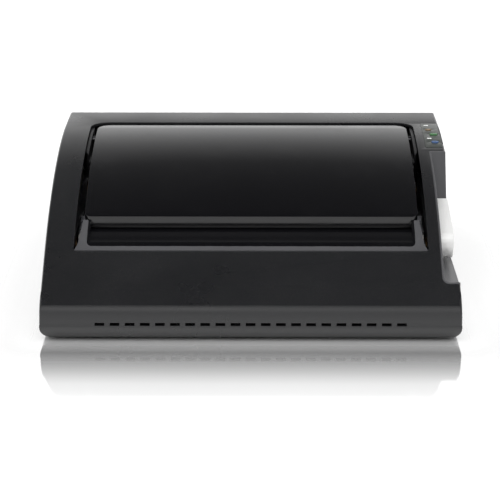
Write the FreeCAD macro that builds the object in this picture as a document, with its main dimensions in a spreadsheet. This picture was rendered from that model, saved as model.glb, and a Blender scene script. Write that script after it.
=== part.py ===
import FreeCAD, Part
import math
import os
import Sketcher

# An electric comb-binding machine: it punches a row of rectangular holes in paper and opens a plastic
# comb to hold the sheets.  Millimetres.  +X is the user's right, +Y points to the rear, +Z is up.
# The origin is on the table, under the middle of the machine's box.  Places along the depth are
# named by their distance behind the nose of the machine.

V = FreeCAD.Vector
doc = FreeCAD.newDocument("comb_binding_machine")
sheet = doc.addObject("Spreadsheet::Sheet", "dims")
ALONG = {
    "x": FreeCAD.Rotation(V(0, 1, 0), 90),
    "y": FreeCAD.Rotation(V(1, 0, 0), -90),
    "z": FreeCAD.Rotation(),
}


# ---------------------------------------------------------------- sizes

class Size:
    """A length or an angle in degrees, with the spreadsheet formula that gives it."""

    def __init__(self, value, formula):
        self.value = float(value)
        self.formula = formula

    def __add__(self, other):
        return combine(self, other, "+", self.value + size(other).value)

    def __radd__(self, other):
        return size(other) + self

    def __sub__(self, other):
        return combine(self, other, "-", self.value - size(other).value)

    def __rsub__(self, other):
        return size(other) - self

    def __mul__(self, other):
        return combine(self, other, "*", self.value * size(other).value)

    def __rmul__(self, other):
        return size(other) * self

    def __truediv__(self, other):
        return combine(self, other, "/", self.value / size(other).value)

    def __neg__(self):
        return size(0) - self


def size(number):
    return number if isinstance(number, Size) else Size(number, repr(float(number)))


def combine(first, second, sign, value):
    return Size(value, "(%s %s %s)" % (first.formula, sign, size(second).formula))


def trig(name, angle):
    function = {"sin": math.sin, "cos": math.cos, "tan": math.tan}[name]
    return Size(function(math.radians(angle.value)), "%s(%s * 1 deg)" % (name, angle.formula))


def root(square):
    return Size(math.sqrt(square.value), "sqrt(%s)" % square.formula)


class Group:
    """A group of driving dimensions, each in its own named cell of the sheet."""

    rows = 0

    def __init__(self, group, **values):
        for name, value in values.items():
            Group.rows += 1
            alias = group + "_" + name
            sheet.set("A%d" % Group.rows, alias.replace("_", " "))
            sheet.set("B%d" % Group.rows, str(value))
            sheet.setAlias("B%d" % Group.rows, alias)
            setattr(self, name, Size(value, "dims." + alias))


casing = Group(
    "casing", width=400, depth=360, height=143, foot=2, seam=16, wall=3,
    crease_back=6.5, crease_height=34.7, deck_slope=33.74, crown_radius=432.5, top_slope=0.56,
    rear_lean=10, rear_band=62, edge=2.5, base_corner=12, base_set_back=8)
opening = Group("opening", rim=28, front=61, back=302, corner=20)
rail = Group(
    "rail", front=65.2, back=69.6, arm_back=100.4, arm_in=12, tip_out=7, flare_back=72, flare_out=3.6,
    flare_turn=10, inner_turn=5, sunk=2.5, thick=2.5)
tray = Group(
    "tray", front=69.8, back=106.5, floor_front=73, floor_back=82, wall=2.2, corner=5, flange_front=57,
    flange_out=3, flange_thick=2)
lid = Group(
    "lid", margin=8, front=101.2, back=289, skin=3, lip=9, skirt=6, corner=6, rear_corner=14)
pivot = Group("pivot", back=266, below_top=10, radius=3, lug=6, reach=14)
notch = Group(
    "notch", depth=15, floor=46.5, front=30, wall=2, rear_back=187.5, rear_height=91, rear_angle=28,
    corner=5)
lever = Group(
    "lever", side_gap=0.5, hub_back=112, hub_height=62, end_back=181, end_height=95.4, hub_reach=15,
    hub_below=11.6, hub_above=14.3, hub_turn=14.6, heel_turn=16, arm_start=12, arm_rise=26.6,
    arm_run=34, arm_turn=90, tip_turn=5, tip_short=8.5, tip_drop=19, rounding=1)
slots = Group("slots", pitch=14.2875, wide=9.2, tall=3)
frames = Group("frames", margin=26, plate=2.5, front=95, back=324, window=49)
shaft = Group("shaft", lever_radius=4, punch_radius=5, punch_back=250, punch_height=82, bush=2)
comb = Group(
    "comb", floor=80.5, skin=2.5, plate_front=134, plate_back=160, plate_thick=5, plate_gap=0.5,
    hook_wide=5, hook_tall=12, rake_back=163, rake_thick=2, rake_top=106, half_length=155)
punch = Group(
    "punch", die_front=196, die_thick=6, throat=3, low=84, high=120, half_length=166,
    hole_wide=8.2, hole_tall=3.2, pin_wide=8, pin_tall=3, height=100, ram_back=240, ram_deep=10,
    ram_tall=12, paper_half=150.5, cover=2)
gears = Group("gears", module=1, small_module=0.8, face=6, thinning=0.12)
drawer = Group("drawer", front=156, back=244, low=17, high=47, length=258, wall=2, gap=0.5)
bezel = Group("bezel", front=220, back=297, wide=17.5, edge_gap=2, thick=1.5, proud=0.2)
panel = Group("panel", left=70, right=155, low=24, high=56, thick=2)
screw = Group("screw", shank=2, head=4, head_thick=2.2, front_back=32, rear_back=349, side=28)

COMB_RINGS = 21
LEVER_PINION_TEETH = 26
RAM_GEAR_TEETH = 20
DRIVE_GEAR_TEETH = 60
IDLER_SMALL_TEETH = 14
IDLER_LARGE_TEETH = 48
MOTOR_PINION_TEETH = 12
MARGIN_PINION_TEETH = 10
PRESSURE_ANGLE = math.radians(20)
DEDENDUM = 1.25
IDLER_DIRECTION = -45
MOTOR_DIRECTION = -20
HIGH_ABOVE = 60
half = casing.width / 2
base_floor = casing.foot + casing.wall
pivot_height = casing.height - pivot.below_top


def back(distance):
    """The Y of a place this far behind the nose."""
    return distance - casing.depth / 2


# ---------------------------------------------------------------- the curve of the top

deck_rise = trig("tan", casing.deck_slope)
deck_cosine = trig("cos", casing.deck_slope)
top_rise = trig("tan", casing.top_slope)
top_cosine = trig("cos", casing.top_slope)
top_edge_back = casing.depth - casing.rear_lean


def deck_line(distance, depth=0):
    """Height of the sloping deck, or of a surface this deep under it."""
    return casing.crease_height + (distance - casing.crease_back) * deck_rise - depth / deck_cosine


def top_line(distance, depth=0):
    return casing.height - (top_edge_back - distance) * top_rise - depth / top_cosine


def crown_corner(depth):
    """Where the lines of the deck and the top would meet, this deep under the surface."""
    level = top_line(size(0), size(depth)) - deck_line(size(0), size(depth))
    distance = level / (deck_rise - top_rise)
    return distance, deck_line(distance, size(depth))


crown_centre_back, crown_centre_height = crown_corner(casing.crown_radius)


def surface(distance, depth=0):
    """Height of the casing's top at this distance, or of a surface this deep under it."""
    distance = size(distance)
    depth = size(depth)
    reach = crown_centre_back.value - distance.value
    if reach > casing.crown_radius.value * math.sin(math.radians(casing.deck_slope.value)):
        return deck_line(distance, depth)
    if reach < casing.crown_radius.value * math.sin(math.radians(casing.top_slope.value)):
        return top_line(distance, depth)
    radius = casing.crown_radius - depth
    away = distance - crown_centre_back
    return crown_centre_height + root(radius * radius - away * away)


# ---------------------------------------------------------------- making shapes

def at(across, up, turn=None, bow=None):
    """A corner of an outline.  turn rounds it; bow curves the edge that starts here."""
    return size(across), size(up), None if turn is None else size(turn), bow


def rounded_rectangle(across, up, turn):
    return [at(across[0], up[0], turn), at(across[1], up[0], turn),
            at(across[1], up[1], turn), at(across[0], up[1], turn)]


def arc_through(start, middle, end):
    """An arc for a sketch, and the ends (1 or 2) of it that are the given start and end."""
    circle = Part.Arc(start, middle, end).toShape().Curve
    centre = circle.Center

    def angle(point):
        return math.atan2(point.y - centre.y, point.x - centre.x)

    anticlockwise = (middle - start).cross(end - middle).z > 0
    first, last = (start, end) if anticlockwise else (end, start)
    plain = Part.Circle(centre, V(0, 0, 1), circle.Radius)
    arc = Part.ArcOfCircle(plain, angle(first), angle(last))
    return (arc, 1, 2) if anticlockwise else (arc, 2, 1)


def pin_point(sketch, geometry, end, corner):
    """Hold a point of a sketch at the corner's named place."""
    for kind, amount in (("DistanceX", corner[0]), ("DistanceY", corner[1])):
        rule = sketch.addConstraint(
            Sketcher.Constraint(kind, -1, 1, geometry, end, amount.value))
        sketch.setExpression("Constraints[%d]" % rule, amount.formula)


def hold_radius(sketch, geometry, radius):
    rule = sketch.addConstraint(Sketcher.Constraint("Radius", geometry, radius.value))
    sketch.setExpression("Constraints[%d]" % rule, radius.formula)


def draw_outline(sketch, corners):
    """Draw a closed outline of straight, bowed and rounded stretches, fully constrained."""
    count = len(corners)
    points = [V(corner[0].value, corner[1].value, 0) for corner in corners]
    arrive = list(points)
    leave = list(points)
    turns = {}
    for index, corner in enumerate(corners):
        if corner[2] is None:
            continue
        before = (points[index - 1] - points[index]).normalize()
        after = (points[(index + 1) % count] - points[index]).normalize()
        half_angle = before.getAngle(after) / 2
        arrive[index] = points[index] + before * (corner[2].value / math.tan(half_angle))
        leave[index] = points[index] + after * (corner[2].value / math.tan(half_angle))
        inward = (before + after).normalize()
        to_middle = corner[2].value / math.sin(half_angle) - corner[2].value
        arc, start, end = arc_through(arrive[index], points[index] + inward * to_middle, leave[index])
        turns[index] = (sketch.addGeometry(arc), start, end)
    edges = []
    for index, corner in enumerate(corners):
        start = leave[index]
        end = arrive[(index + 1) % count]
        if corner[3] is None:
            edges.append((sketch.addGeometry(Part.LineSegment(start, end)), 1, 2))
            continue
        chord = end - start
        radius, side = corner[3]
        drop = radius.value - math.sqrt(radius.value ** 2 - chord.Length ** 2 / 4)
        sideways = V(-chord.y, chord.x, 0).normalize() * (side * drop)
        arc, first, last = arc_through(start, start + chord / 2 + sideways, end)
        edges.append((sketch.addGeometry(arc), first, last))
        hold_radius(sketch, edges[-1][0], radius)
    for index, corner in enumerate(corners):
        into = edges[index - 1]
        out_of = edges[index]
        if index not in turns:
            sketch.addConstraint(
                Sketcher.Constraint("Coincident", into[0], into[2], out_of[0], out_of[1]))
            pin_point(sketch, out_of[0], out_of[1], corner)
            continue
        arc, start, end = turns[index]
        mark = sketch.addGeometry(Part.Point(points[index]), True)
        pin_point(sketch, mark, 1, corner)
        sketch.addConstraint(Sketcher.Constraint("PointOnObject", mark, 1, into[0]))
        sketch.addConstraint(Sketcher.Constraint("PointOnObject", mark, 1, out_of[0]))
        sketch.addConstraint(Sketcher.Constraint("Tangent", into[0], into[2], arc, start))
        sketch.addConstraint(Sketcher.Constraint("Tangent", arc, end, out_of[0], out_of[1]))
        hold_radius(sketch, arc, corner[2])


def origin_plane(body, role):
    return [item for item in body.Origin.OriginFeatures if item.Role == role][0]


def prism(name, plane, corners, span):
    """A body padded from an outline.  plane is side (Y, Z), plan (X, Y) or front (X, Z)."""
    role, reverse = {"side": ("YZ_Plane", False), "plan": ("XY_Plane", False),
                     "front": ("XZ_Plane", True)}[plane]
    low, high = size(span[0]), size(span[1])
    body = doc.addObject("PartDesign::Body", name)
    sketch = body.newObject("Sketcher::SketchObject", name + "_outline")
    sketch.AttachmentSupport = [(origin_plane(body, role), "")]
    sketch.MapMode = "FlatFace"
    offset = -high if reverse else low
    sketch.setExpression("AttachmentOffset.Base.z", offset.formula)
    draw_outline(sketch, corners)
    pad = body.newObject("PartDesign::Pad", name + "_pad")
    pad.Profile = sketch
    pad.setExpression("Length", (high - low).formula)
    return body


def in_a_row(body, axis, pitch=None, count=COMB_RINGS):
    """Repeat a body's pad along X.  axis is the direction of X seen from its sketch."""
    pitch = slots.pitch if pitch is None else pitch
    sketch, pad = body.Group[0], body.Group[1]
    row = body.newObject("PartDesign::LinearPattern", body.Name + "_row")
    row.Originals = [pad]
    row.Direction = (sketch, [axis])
    row.setExpression("Length", (pitch * (count - 1)).formula)
    row.Occurrences = count
    body.Tip = row
    return body


first_ring = -slots.pitch * (COMB_RINGS - 1) / 2


def turned(name, axis, centre, corners):
    """A body of revolution.  Its outline is (radius, distance along the axis)."""
    body = doc.addObject("PartDesign::Body", name)
    sketch = body.newObject("Sketcher::SketchObject", name + "_half")
    sketch.AttachmentSupport = [(origin_plane(body, "XZ_Plane"), "")]
    sketch.MapMode = "FlatFace"
    draw_outline(sketch, corners)
    spin = body.newObject("PartDesign::Revolution", name + "_spin")
    spin.Profile = sketch
    spin.ReferenceAxis = (sketch, ["V_Axis"])
    spin.Angle = 360
    body.Placement = FreeCAD.Placement(V(), ALONG[axis])
    for letter, place in zip([item for item in "xyz" if item != axis], centre):
        body.setExpression(".Placement.Base." + letter, size(place).formula)
    return body


def block(name, across, deep, tall):
    solid = doc.addObject("Part::Box", name)
    limits = (("Length", "x", across), ("Width", "y", deep), ("Height", "z", tall))
    for side, letter, (low, high) in limits:
        solid.setExpression(side, (size(high) - size(low)).formula)
        solid.setExpression("Placement.Base." + letter, size(low).formula)
    return solid


def rod(name, axis, centre, radius, span):
    """A round bar along an axis.  centre is its place on the other two axes, in order."""
    solid = doc.addObject("Part::Cylinder", name)
    solid.Placement = FreeCAD.Placement(V(), ALONG[axis])
    solid.setExpression("Radius", size(radius).formula)
    solid.setExpression("Height", (size(span[1]) - size(span[0])).formula)
    places = dict(zip([item for item in "xyz" if item != axis], centre))
    places[axis] = span[0]
    for letter, place in places.items():
        solid.setExpression("Placement.Base." + letter, size(place).formula)
    return solid


def fuse(name, *parts):
    whole = doc.addObject("Part::MultiFuse", name)
    whole.Shapes = list(parts)
    return whole


def cut(name, base, *tools):
    for number, tool in enumerate(tools):
        last = number == len(tools) - 1
        rest = doc.addObject("Part::Cut", name if last else "%s_cut_%d" % (name, number))
        rest.Base = base
        rest.Tool = tool
        base = rest
    return base


def common(name, *parts):
    shared = doc.addObject("Part::MultiCommon", name)
    shared.Shapes = list(parts)
    return shared


def set_of(name, *parts):
    """Several like solids that share one name."""
    group = doc.addObject("Part::Compound", name)
    group.Links = list(parts)
    return group


def mirrored(distance_low, distance_high):
    """The same span on the left and on the right of the middle."""
    return (-distance_high, -distance_low), (distance_low, distance_high)


def under(name, depth, across=None):
    """Everything that lies at least this deep under the casing's top surface."""
    across = across or (-half - 1, half + 1)
    depth = size(depth)
    corner_back, corner_height = crown_corner(depth)
    corners = [
        at(back(size(0)), -10), at(back(casing.depth), -10),
        at(back(casing.depth), top_line(casing.depth, depth)),
        at(back(corner_back), corner_height, turn=casing.crown_radius - depth),
        at(back(size(0)), deck_line(size(0), depth))]
    return prism(name, "side", corners, across)


def skin(name, plan, top_depth, low_depth):
    """A piece of sheet that follows the casing's top inside a plan outline."""
    column = prism(name + "_plan", "plan", plan, (0, casing.height + HIGH_ABOVE))
    return cut(name, common(name + "_top", column, under(name + "_under", top_depth)),
               under(name + "_hollow", low_depth))


# ---------------------------------------------------------------- gears and racks

def involute_angle(base_radius, radius):
    """How far round an involute has come when it reaches this radius."""
    press = math.acos(min(1.0, base_radius / radius))
    return math.tan(press) - press


def gear_wire(teeth, module, thinning):
    """The outline of a spur gear about the origin, with one tooth pointing along +X."""
    pitch_radius = teeth * module / 2
    base_radius = pitch_radius * math.cos(PRESSURE_ANGLE)
    tip_radius = pitch_radius + module
    root_radius = pitch_radius - DEDENDUM * module
    start_radius = max(base_radius, root_radius)
    half_tooth = math.pi / (2 * teeth) - thinning / (2 * pitch_radius)
    half_tooth += involute_angle(base_radius, pitch_radius)
    radii = (start_radius, (start_radius + tip_radius) / 2, tip_radius)
    angles = [half_tooth - involute_angle(base_radius, radius) for radius in radii]

    def spot(radius, angle):
        return V(radius * math.cos(angle), radius * math.sin(angle), 0)

    edges = []
    for number in range(teeth):
        middle = 2 * math.pi * number / teeth
        next_low = middle + 2 * math.pi / teeth - angles[0]
        rising = [spot(radius, middle - angle) for radius, angle in zip(radii, angles)]
        falling = [spot(radius, middle + angle) for radius, angle in zip(radii, angles)][::-1]
        foot = spot(root_radius, middle + angles[0])
        next_foot = spot(root_radius, next_low)
        edges.append(Part.Arc(*rising).toShape())
        edges.append(Part.LineSegment(rising[-1], falling[0]).toShape())
        edges.append(Part.Arc(*falling).toShape())
        if start_radius > root_radius:
            edges.append(Part.LineSegment(falling[-1], foot).toShape())
        edges.append(Part.LineSegment(foot, next_foot).toShape())
        if start_radius > root_radius:
            edges.append(Part.LineSegment(next_foot, spot(start_radius, next_low)).toShape())
    return Part.Wire(edges)


def spur_gear(name, teeth, centre, span, bore, pointing, gap=False, module=None, axis="x"):
    """A spur gear.  A tooth, or with gap a tooth space, points at the given angle.

    For an axis along X the angle is measured from +Y towards +Z; along Y, from +Z towards +X.
    """
    module = gears.module.value if module is None else module.value
    face = Part.Face(gear_wire(teeth, module, gears.thinning.value))
    low, high = size(span[0]).value, size(span[1]).value
    solid = face.extrude(V(0, 0, high - low))
    solid = solid.cut(Part.makeCylinder(size(bore).value, high - low))
    phase = pointing + (180 / teeth if gap else 0)
    if axis == "x":
        frame = FreeCAD.Rotation(V(0, 1, 0), V(0, 0, 1), V(1, 0, 0), "ZXY")
        place = V(low, size(centre[0]).value, size(centre[1]).value)
    else:
        frame = FreeCAD.Rotation(V(0, 0, 1), V(1, 0, 0), V(0, 1, 0), "ZXY")
        place = V(size(centre[0]).value, low, size(centre[1]).value)
    gear = doc.addObject("Part::Feature", name)
    gear.Shape = solid
    gear.Placement = FreeCAD.Placement(place, frame * FreeCAD.Rotation(V(0, 0, 1), phase))
    return gear


def rack_face(module, thinning, reach, rear):
    """A rack's side view: teeth down, pitch line on the axis, a tooth space at the origin."""
    pitch = math.pi * module
    slope = math.tan(PRESSURE_ANGLE)
    root_half = pitch / 4 - thinning / 2 + DEDENDUM * module * slope
    tip_half = pitch / 4 - thinning / 2 - module * slope
    first = math.ceil((-reach[0] + root_half) / pitch - 0.5)
    last = math.floor((reach[1] - root_half) / pitch - 0.5)
    points = [V(-reach[0], rear, 0), V(-reach[0], DEDENDUM * module, 0)]
    for number in range(-abs(first), last + 1):
        middle = (number + 0.5) * pitch
        if middle - root_half < -reach[0]:
            continue
        points.append(V(middle - root_half, DEDENDUM * module, 0))
        points.append(V(middle - tip_half, -module, 0))
        points.append(V(middle + tip_half, -module, 0))
        points.append(V(middle + root_half, DEDENDUM * module, 0))
    points += [V(reach[1], DEDENDUM * module, 0), V(reach[1], rear, 0)]
    return Part.Face(Part.makePolygon(points + points[:1]))


def rack(name, mesh_point, reach, rear, span, module=None, stands=False):
    """A rack.  Lying, its teeth face down and it runs along Y; standing, they face +X along Z."""
    module = gears.module.value if module is None else module.value
    low, high = size(span[0]).value, size(span[1]).value
    face = rack_face(module, gears.thinning.value, [size(item).value for item in reach], rear)
    bar = doc.addObject("Part::Feature", name)
    bar.Shape = face.extrude(V(0, 0, high - low))
    if stands:
        frame = FreeCAD.Rotation(V(0, 0, 1), V(-1, 0, 0), V(0, -1, 0), "ZXY")
        place = V(size(mesh_point[0]).value, high, size(mesh_point[1]).value)
    else:
        frame = FreeCAD.Rotation(V(0, 1, 0), V(0, 0, 1), V(1, 0, 0), "ZXY")
        place = V(low, size(mesh_point[0]).value, size(mesh_point[1]).value)
    bar.Placement = FreeCAD.Placement(place, frame)
    return bar


# ---------------------------------------------------------------- casing

notch_rise = trig("tan", notch.rear_angle)
notch_slant = notch.wall / trig("cos", notch.rear_angle)
open_half = half - opening.rim
lid_half = open_half - lid.margin
frame_inner = half - frames.margin
frame_outer = frame_inner + frames.plate
nose_radius = (casing.crease_back * casing.crease_back
               + (casing.crease_height - casing.seam) * (casing.crease_height - casing.seam)
               ) / (casing.crease_back * 2)


def notch_rear(height):
    """How far back the notch's leaning rear wall is at this height."""
    return notch.rear_back + (height - notch.rear_height) * notch_rise


def casing_section(inset):
    """The casing's side view above the seam, drawn in by the wall for the hollow."""
    inset = size(inset)
    corner_back, corner_height = crown_corner(inset)
    turn_back = casing.crease_back + inset / 2
    bow = None if inset.value else (nose_radius, 1)
    top_back = top_edge_back - inset
    low = casing.seam - (1 if inset.value else 0)
    return [
        at(back(inset), low, bow=bow),
        at(back(turn_back), deck_line(turn_back, inset)),
        at(back(corner_back), corner_height, turn=casing.crown_radius - inset),
        at(back(top_back), top_line(top_back, inset)),
        at(back(casing.depth - inset), casing.rear_band),
        at(back(casing.depth - inset), low)]


def notch_column(name, wall, across):
    """The space of the lever's notch, or of the moulding that lines it."""
    floor = notch.floor - wall
    slant = notch_slant if wall.value else size(0)
    top = casing.height + HIGH_ABOVE
    corners = [
        at(back(notch.front - wall), floor), at(back(notch_rear(floor) + slant), floor),
        at(back(notch_rear(top) + slant), top), at(back(notch.front - wall), top)]
    side = prism(name + "_side", "side", corners, across)
    front, rear = back(notch.front - wall), back(casing.depth)
    plan = prism(name + "_plan", "plan", [
        at(across[0], front, notch.corner + wall), at(across[1], front), at(across[1], rear),
        at(across[0], rear)], (0, top))
    return common(name, side, plan)


def housing_bosses(name, radius, span):
    """The screw posts in the four corners of the casing."""
    posts = []
    for side in (-1, 1):
        for number, place in enumerate((screw.front_back, screw.rear_back)):
            label = "%s_%d_%d" % (name, side + 1, number)
            wide = radius * (1.7 if number else 1)
            posts.append(rod(label, "z", (size(side) * (half - screw.side), back(place)), wide, span))
    return posts


def upper_housing():
    """The black top moulding, open below, with every opening of the casing's upper half."""
    outside = prism("housing_outside", "side", casing_section(0), (-half, half))
    doc.recompute()

    def along_side(edge):
        middle = edge.valueAt((edge.FirstParameter + edge.LastParameter) / 2)
        return (all(abs(abs(point.Point.x) - half.value) < 0.01 for point in edge.Vertexes)
                and middle.z > casing.rear_band.value / 2 + 1 or
                abs(abs(middle.x) - half.value) < 0.01 and casing.seam.value + 0.1 < middle.z
                and middle.y < back(size(30)).value)

    pad = outside.Group[1]
    edges = ["Edge%d" % (number + 1) for number, edge in enumerate(pad.Shape.Edges) if along_side(edge)]
    rounding = outside.newObject("PartDesign::Fillet", "housing_side_rounding")
    rounding.Base = (pad, edges)
    rounding.setExpression("Radius", casing.edge.formula)
    outside.Tip = rounding
    inner = half - casing.wall
    inside = prism("housing_inside", "side", casing_section(casing.wall), (-inner, inner))
    shell = cut("housing_shell", outside, inside)
    posts = common("housing_posts", fuse("housing_post_set", *housing_bosses(
        "housing_post", size(5), (casing.seam, casing.seam + 46))), under("housing_post_top", 1))
    mounts = common("housing_board_posts", fuse("housing_board_post_set", *[
        rod("housing_board_post_%d" % number, "z", (board_middle, back(place)), 1.8,
            (board_top, casing.height + HIGH_ABOVE))
        for number, place in enumerate(board_posts)]), under("housing_board_post_top", 1))
    filled = fuse("housing_filled", shell, posts, mounts)
    plan = [at(-open_half, back(opening.front), 4), at(open_half, back(opening.front), 4),
            at(open_half, back(opening.back), opening.corner),
            at(-open_half, back(opening.back), opening.corner)]
    mouth = prism("housing_mouth", "plan", plan, (rail_low, casing.height + HIGH_ABOVE))
    lever_space = notch_column(
        "housing_notch", notch.wall, (half - notch.depth - notch.wall, half + 1))
    slot = prism("housing_slots", "front", [
        at(first_ring - slots.wide / 2, casing.seam - 1), at(first_ring + slots.wide / 2, casing.seam - 1),
        at(first_ring + slots.wide / 2, casing.seam + slots.tall),
        at(first_ring - slots.wide / 2, casing.seam + slots.tall)],
        (back(size(-1)), back(casing.crease_back + 8)))
    pocket = skin("housing_strip", bezel_plan(size(0.2)), size(-5), bezel.thick)
    window = prism("housing_window", "plan", rounded_rectangle(
        (bezel_right - bezel.wide + 2, bezel_right - 2), (back(bezel.front + 3), back(bezel.back - 3)), 2),
        (board_top, casing.height + HIGH_ABOVE))
    bay = block("housing_drawer_bay", (-half - 1, -inner + 1), (
        back(drawer.front - drawer.gap), back(drawer.back + drawer.gap)),
        (casing.seam - 1, drawer.high + drawer.gap))
    service = block("housing_service_bay", (panel.left, panel.right),
                    (back(casing.depth - casing.wall - 1), back(casing.depth + 1)),
                    (panel.low, panel.high))
    vents = in_a_row(prism("housing_vents", "front", rounded_rectangle(
        (-half + 45, -half + 49), (panel.low, panel.high), 1.5),
        (back(casing.depth - casing.wall - 1), back(casing.depth + 1))), "H_Axis", size(9), 13)
    holes = housing_bosses("housing_screw_hole", screw.shank + 0.05, (casing.seam - 1, casing.seam + 26))
    return cut("upper_housing", filled, mouth, lever_space, in_a_row(slot, "H_Axis"), pocket,
               window, bay, service, vents, *thin_holes(holes))


def thin_holes(rods):
    """Screw holes have one radius, whatever the radius of the post around them."""
    for item in rods:
        item.setExpression("Radius", (screw.shank + 0.05).formula)
    return rods


def base_pan():
    """The shallow bottom moulding that everything inside stands on."""
    low, high = casing.foot, casing.seam
    side = prism("base_side", "side", [
        at(back(casing.base_set_back), low, bow=(size(16), 1)), at(back(size(0)), high),
        at(back(casing.depth), high), at(back(casing.depth - 3), low)], (-half, half))
    turn = casing.base_corner
    end_view = prism("base_end_view", "front", [
        at(-half, low, turn), at(half, low, turn), at(half, high + 1), at(-half, high + 1)],
        (back(size(-1)), back(casing.depth + 1)))
    outside = common("base_outside", side, end_view)
    inner = half - casing.wall
    hollow = prism("base_hollow", "front", [
        at(-inner, base_floor, turn - casing.wall), at(inner, base_floor, turn - casing.wall),
        at(inner, high + 1), at(-inner, high + 1)],
        (back(casing.base_set_back + casing.wall), back(casing.depth - casing.wall - 3)))
    posts = housing_bosses("base_post", size(5), (base_floor - 0.5, high))
    stands = [rod("base_stand_%d_%d" % (one, two), "z", (across, back(deep)), 3,
                  (base_floor - 0.5, board_stand))
              for one, across in enumerate((power_left + 5, power_right - 5))
              for two, deep in enumerate((power_front + 5, power_back - 5))]
    shanks = thin_holes(housing_bosses("base_screw_hole", size(1), (low - 1, high + 1)))
    for item in shanks:
        item.setExpression("Radius", (screw.shank + 0.3).formula)
    heads = housing_bosses("base_screw_recess", size(1), (low - 1, low + screw.head_thick + 0.3))
    for item in heads:
        item.setExpression("Radius", (screw.head + 0.3).formula)
    solid = fuse("base_solid", cut("base_shell", outside, hollow), *posts, *stands)
    return cut("base_pan", solid, *shanks, *heads)


FOOT_RADIUS = 9.0


def rubber_feet():
    """Four soft discs under the base."""
    feet = []
    for side in (-1, 1):
        for number, place in enumerate((size(60), casing.depth - 40)):
            centre = (size(side) * (half - 40), back(place))
            feet.append(turned("foot_%d_%d" % (side + 1, number), "z", centre, [
                at(0.0, 0.0), at(FOOT_RADIUS - 1, 0.0), at(FOOT_RADIUS, 1.0),
                at(FOOT_RADIUS, casing.foot), at(0.0, casing.foot)]))
    return set_of("rubber_feet", *feet)


def housing_screws():
    """Screws that come up through the base into the housing's posts."""
    screws = []
    for side in (-1, 1):
        for number, place in enumerate((screw.front_back, screw.rear_back)):
            low = casing.foot + 0.2
            neck = low + screw.head_thick
            top = casing.seam + 22
            screws.append(turned(
                "screw_%d_%d" % (side + 1, number), "z", (size(side) * (half - screw.side), back(place)), [
                    at(0.0, low), at(screw.head, low), at(screw.head, neck - 0.4), at(screw.shank, neck),
                    at(screw.shank, top - 1.5), at(screw.shank - 1, top), at(0.0, top)]))
    return set_of("housing_screws", *screws)


rail_low = size(50)


def inner_frame():
    """The grey rail round the front of the opening, with two short arms that flare into its corners."""
    corner = open_half - 0.4
    flare, tip, inner = open_half - rail.flare_out, open_half - rail.tip_out, open_half - rail.arm_in
    front, rear, arm_back = back(rail.front), back(rail.back), back(rail.arm_back)
    turn = rail.inner_turn
    plan = [
        at(-corner, front), at(corner, front), at(flare, back(rail.flare_back), rail.flare_turn),
        at(tip, arm_back, 1), at(inner, arm_back, 1), at(inner, rear, turn),
        at(-inner, rear, turn), at(-inner, arm_back, 1), at(-tip, arm_back, 1),
        at(-flare, back(rail.flare_back), rail.flare_turn)]
    return skin("inner_frame", plan, rail.sunk, rail.sunk + rail.thick)


def finger_tray():
    """The gloss scoop in front of the lid, where fingers reach under its lip."""
    half_width = open_half - rail.arm_in - 0.3
    plan = [at(-half_width, back(tray.front), tray.corner), at(half_width, back(tray.front), tray.corner),
            at(half_width, back(tray.back), 1), at(-half_width, back(tray.back), 1)]
    column = prism("tray_plan", "plan", plan, (0, casing.height + HIGH_ABOVE))
    below = tray.wall * 1.2
    high = casing.height + HIGH_ABOVE
    outside = prism("tray_outside", "side", [
        at(back(tray.front), tray.floor_front - below, 3), at(back(tray.back), tray.floor_back - below),
        at(back(tray.back), high), at(back(tray.front), high)], (-half, half))
    scoop = prism("tray_scoop", "side", [
        at(back(tray.front + tray.wall), tray.floor_front, 6),
        at(back(tray.back - tray.wall), tray.floor_back, 1.5),
        at(back(tray.back - tray.wall), high), at(back(tray.front + tray.wall), high)],
        (-half_width + tray.wall, half_width - tray.wall))
    body = common("tray_body", column, outside, under("tray_top", rail.sunk))
    rear_clear = block("tray_rear_clear", (-half, half), (back(lid.front - 1), back(tray.back + 1)),
                       (tray.floor_back, high))
    low = rail.sunk + rail.thick
    reach = open_half + tray.flange_out
    flange = skin("tray_flange", rounded_rectangle(
        (-reach, reach), (back(tray.flange_front), back(tray.front + tray.wall)), 2),
        low, low + tray.flange_thick)
    return cut("finger_tray", fuse("tray_whole", body, flange), scoop, rear_clear)


# ---------------------------------------------------------------- lid

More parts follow.
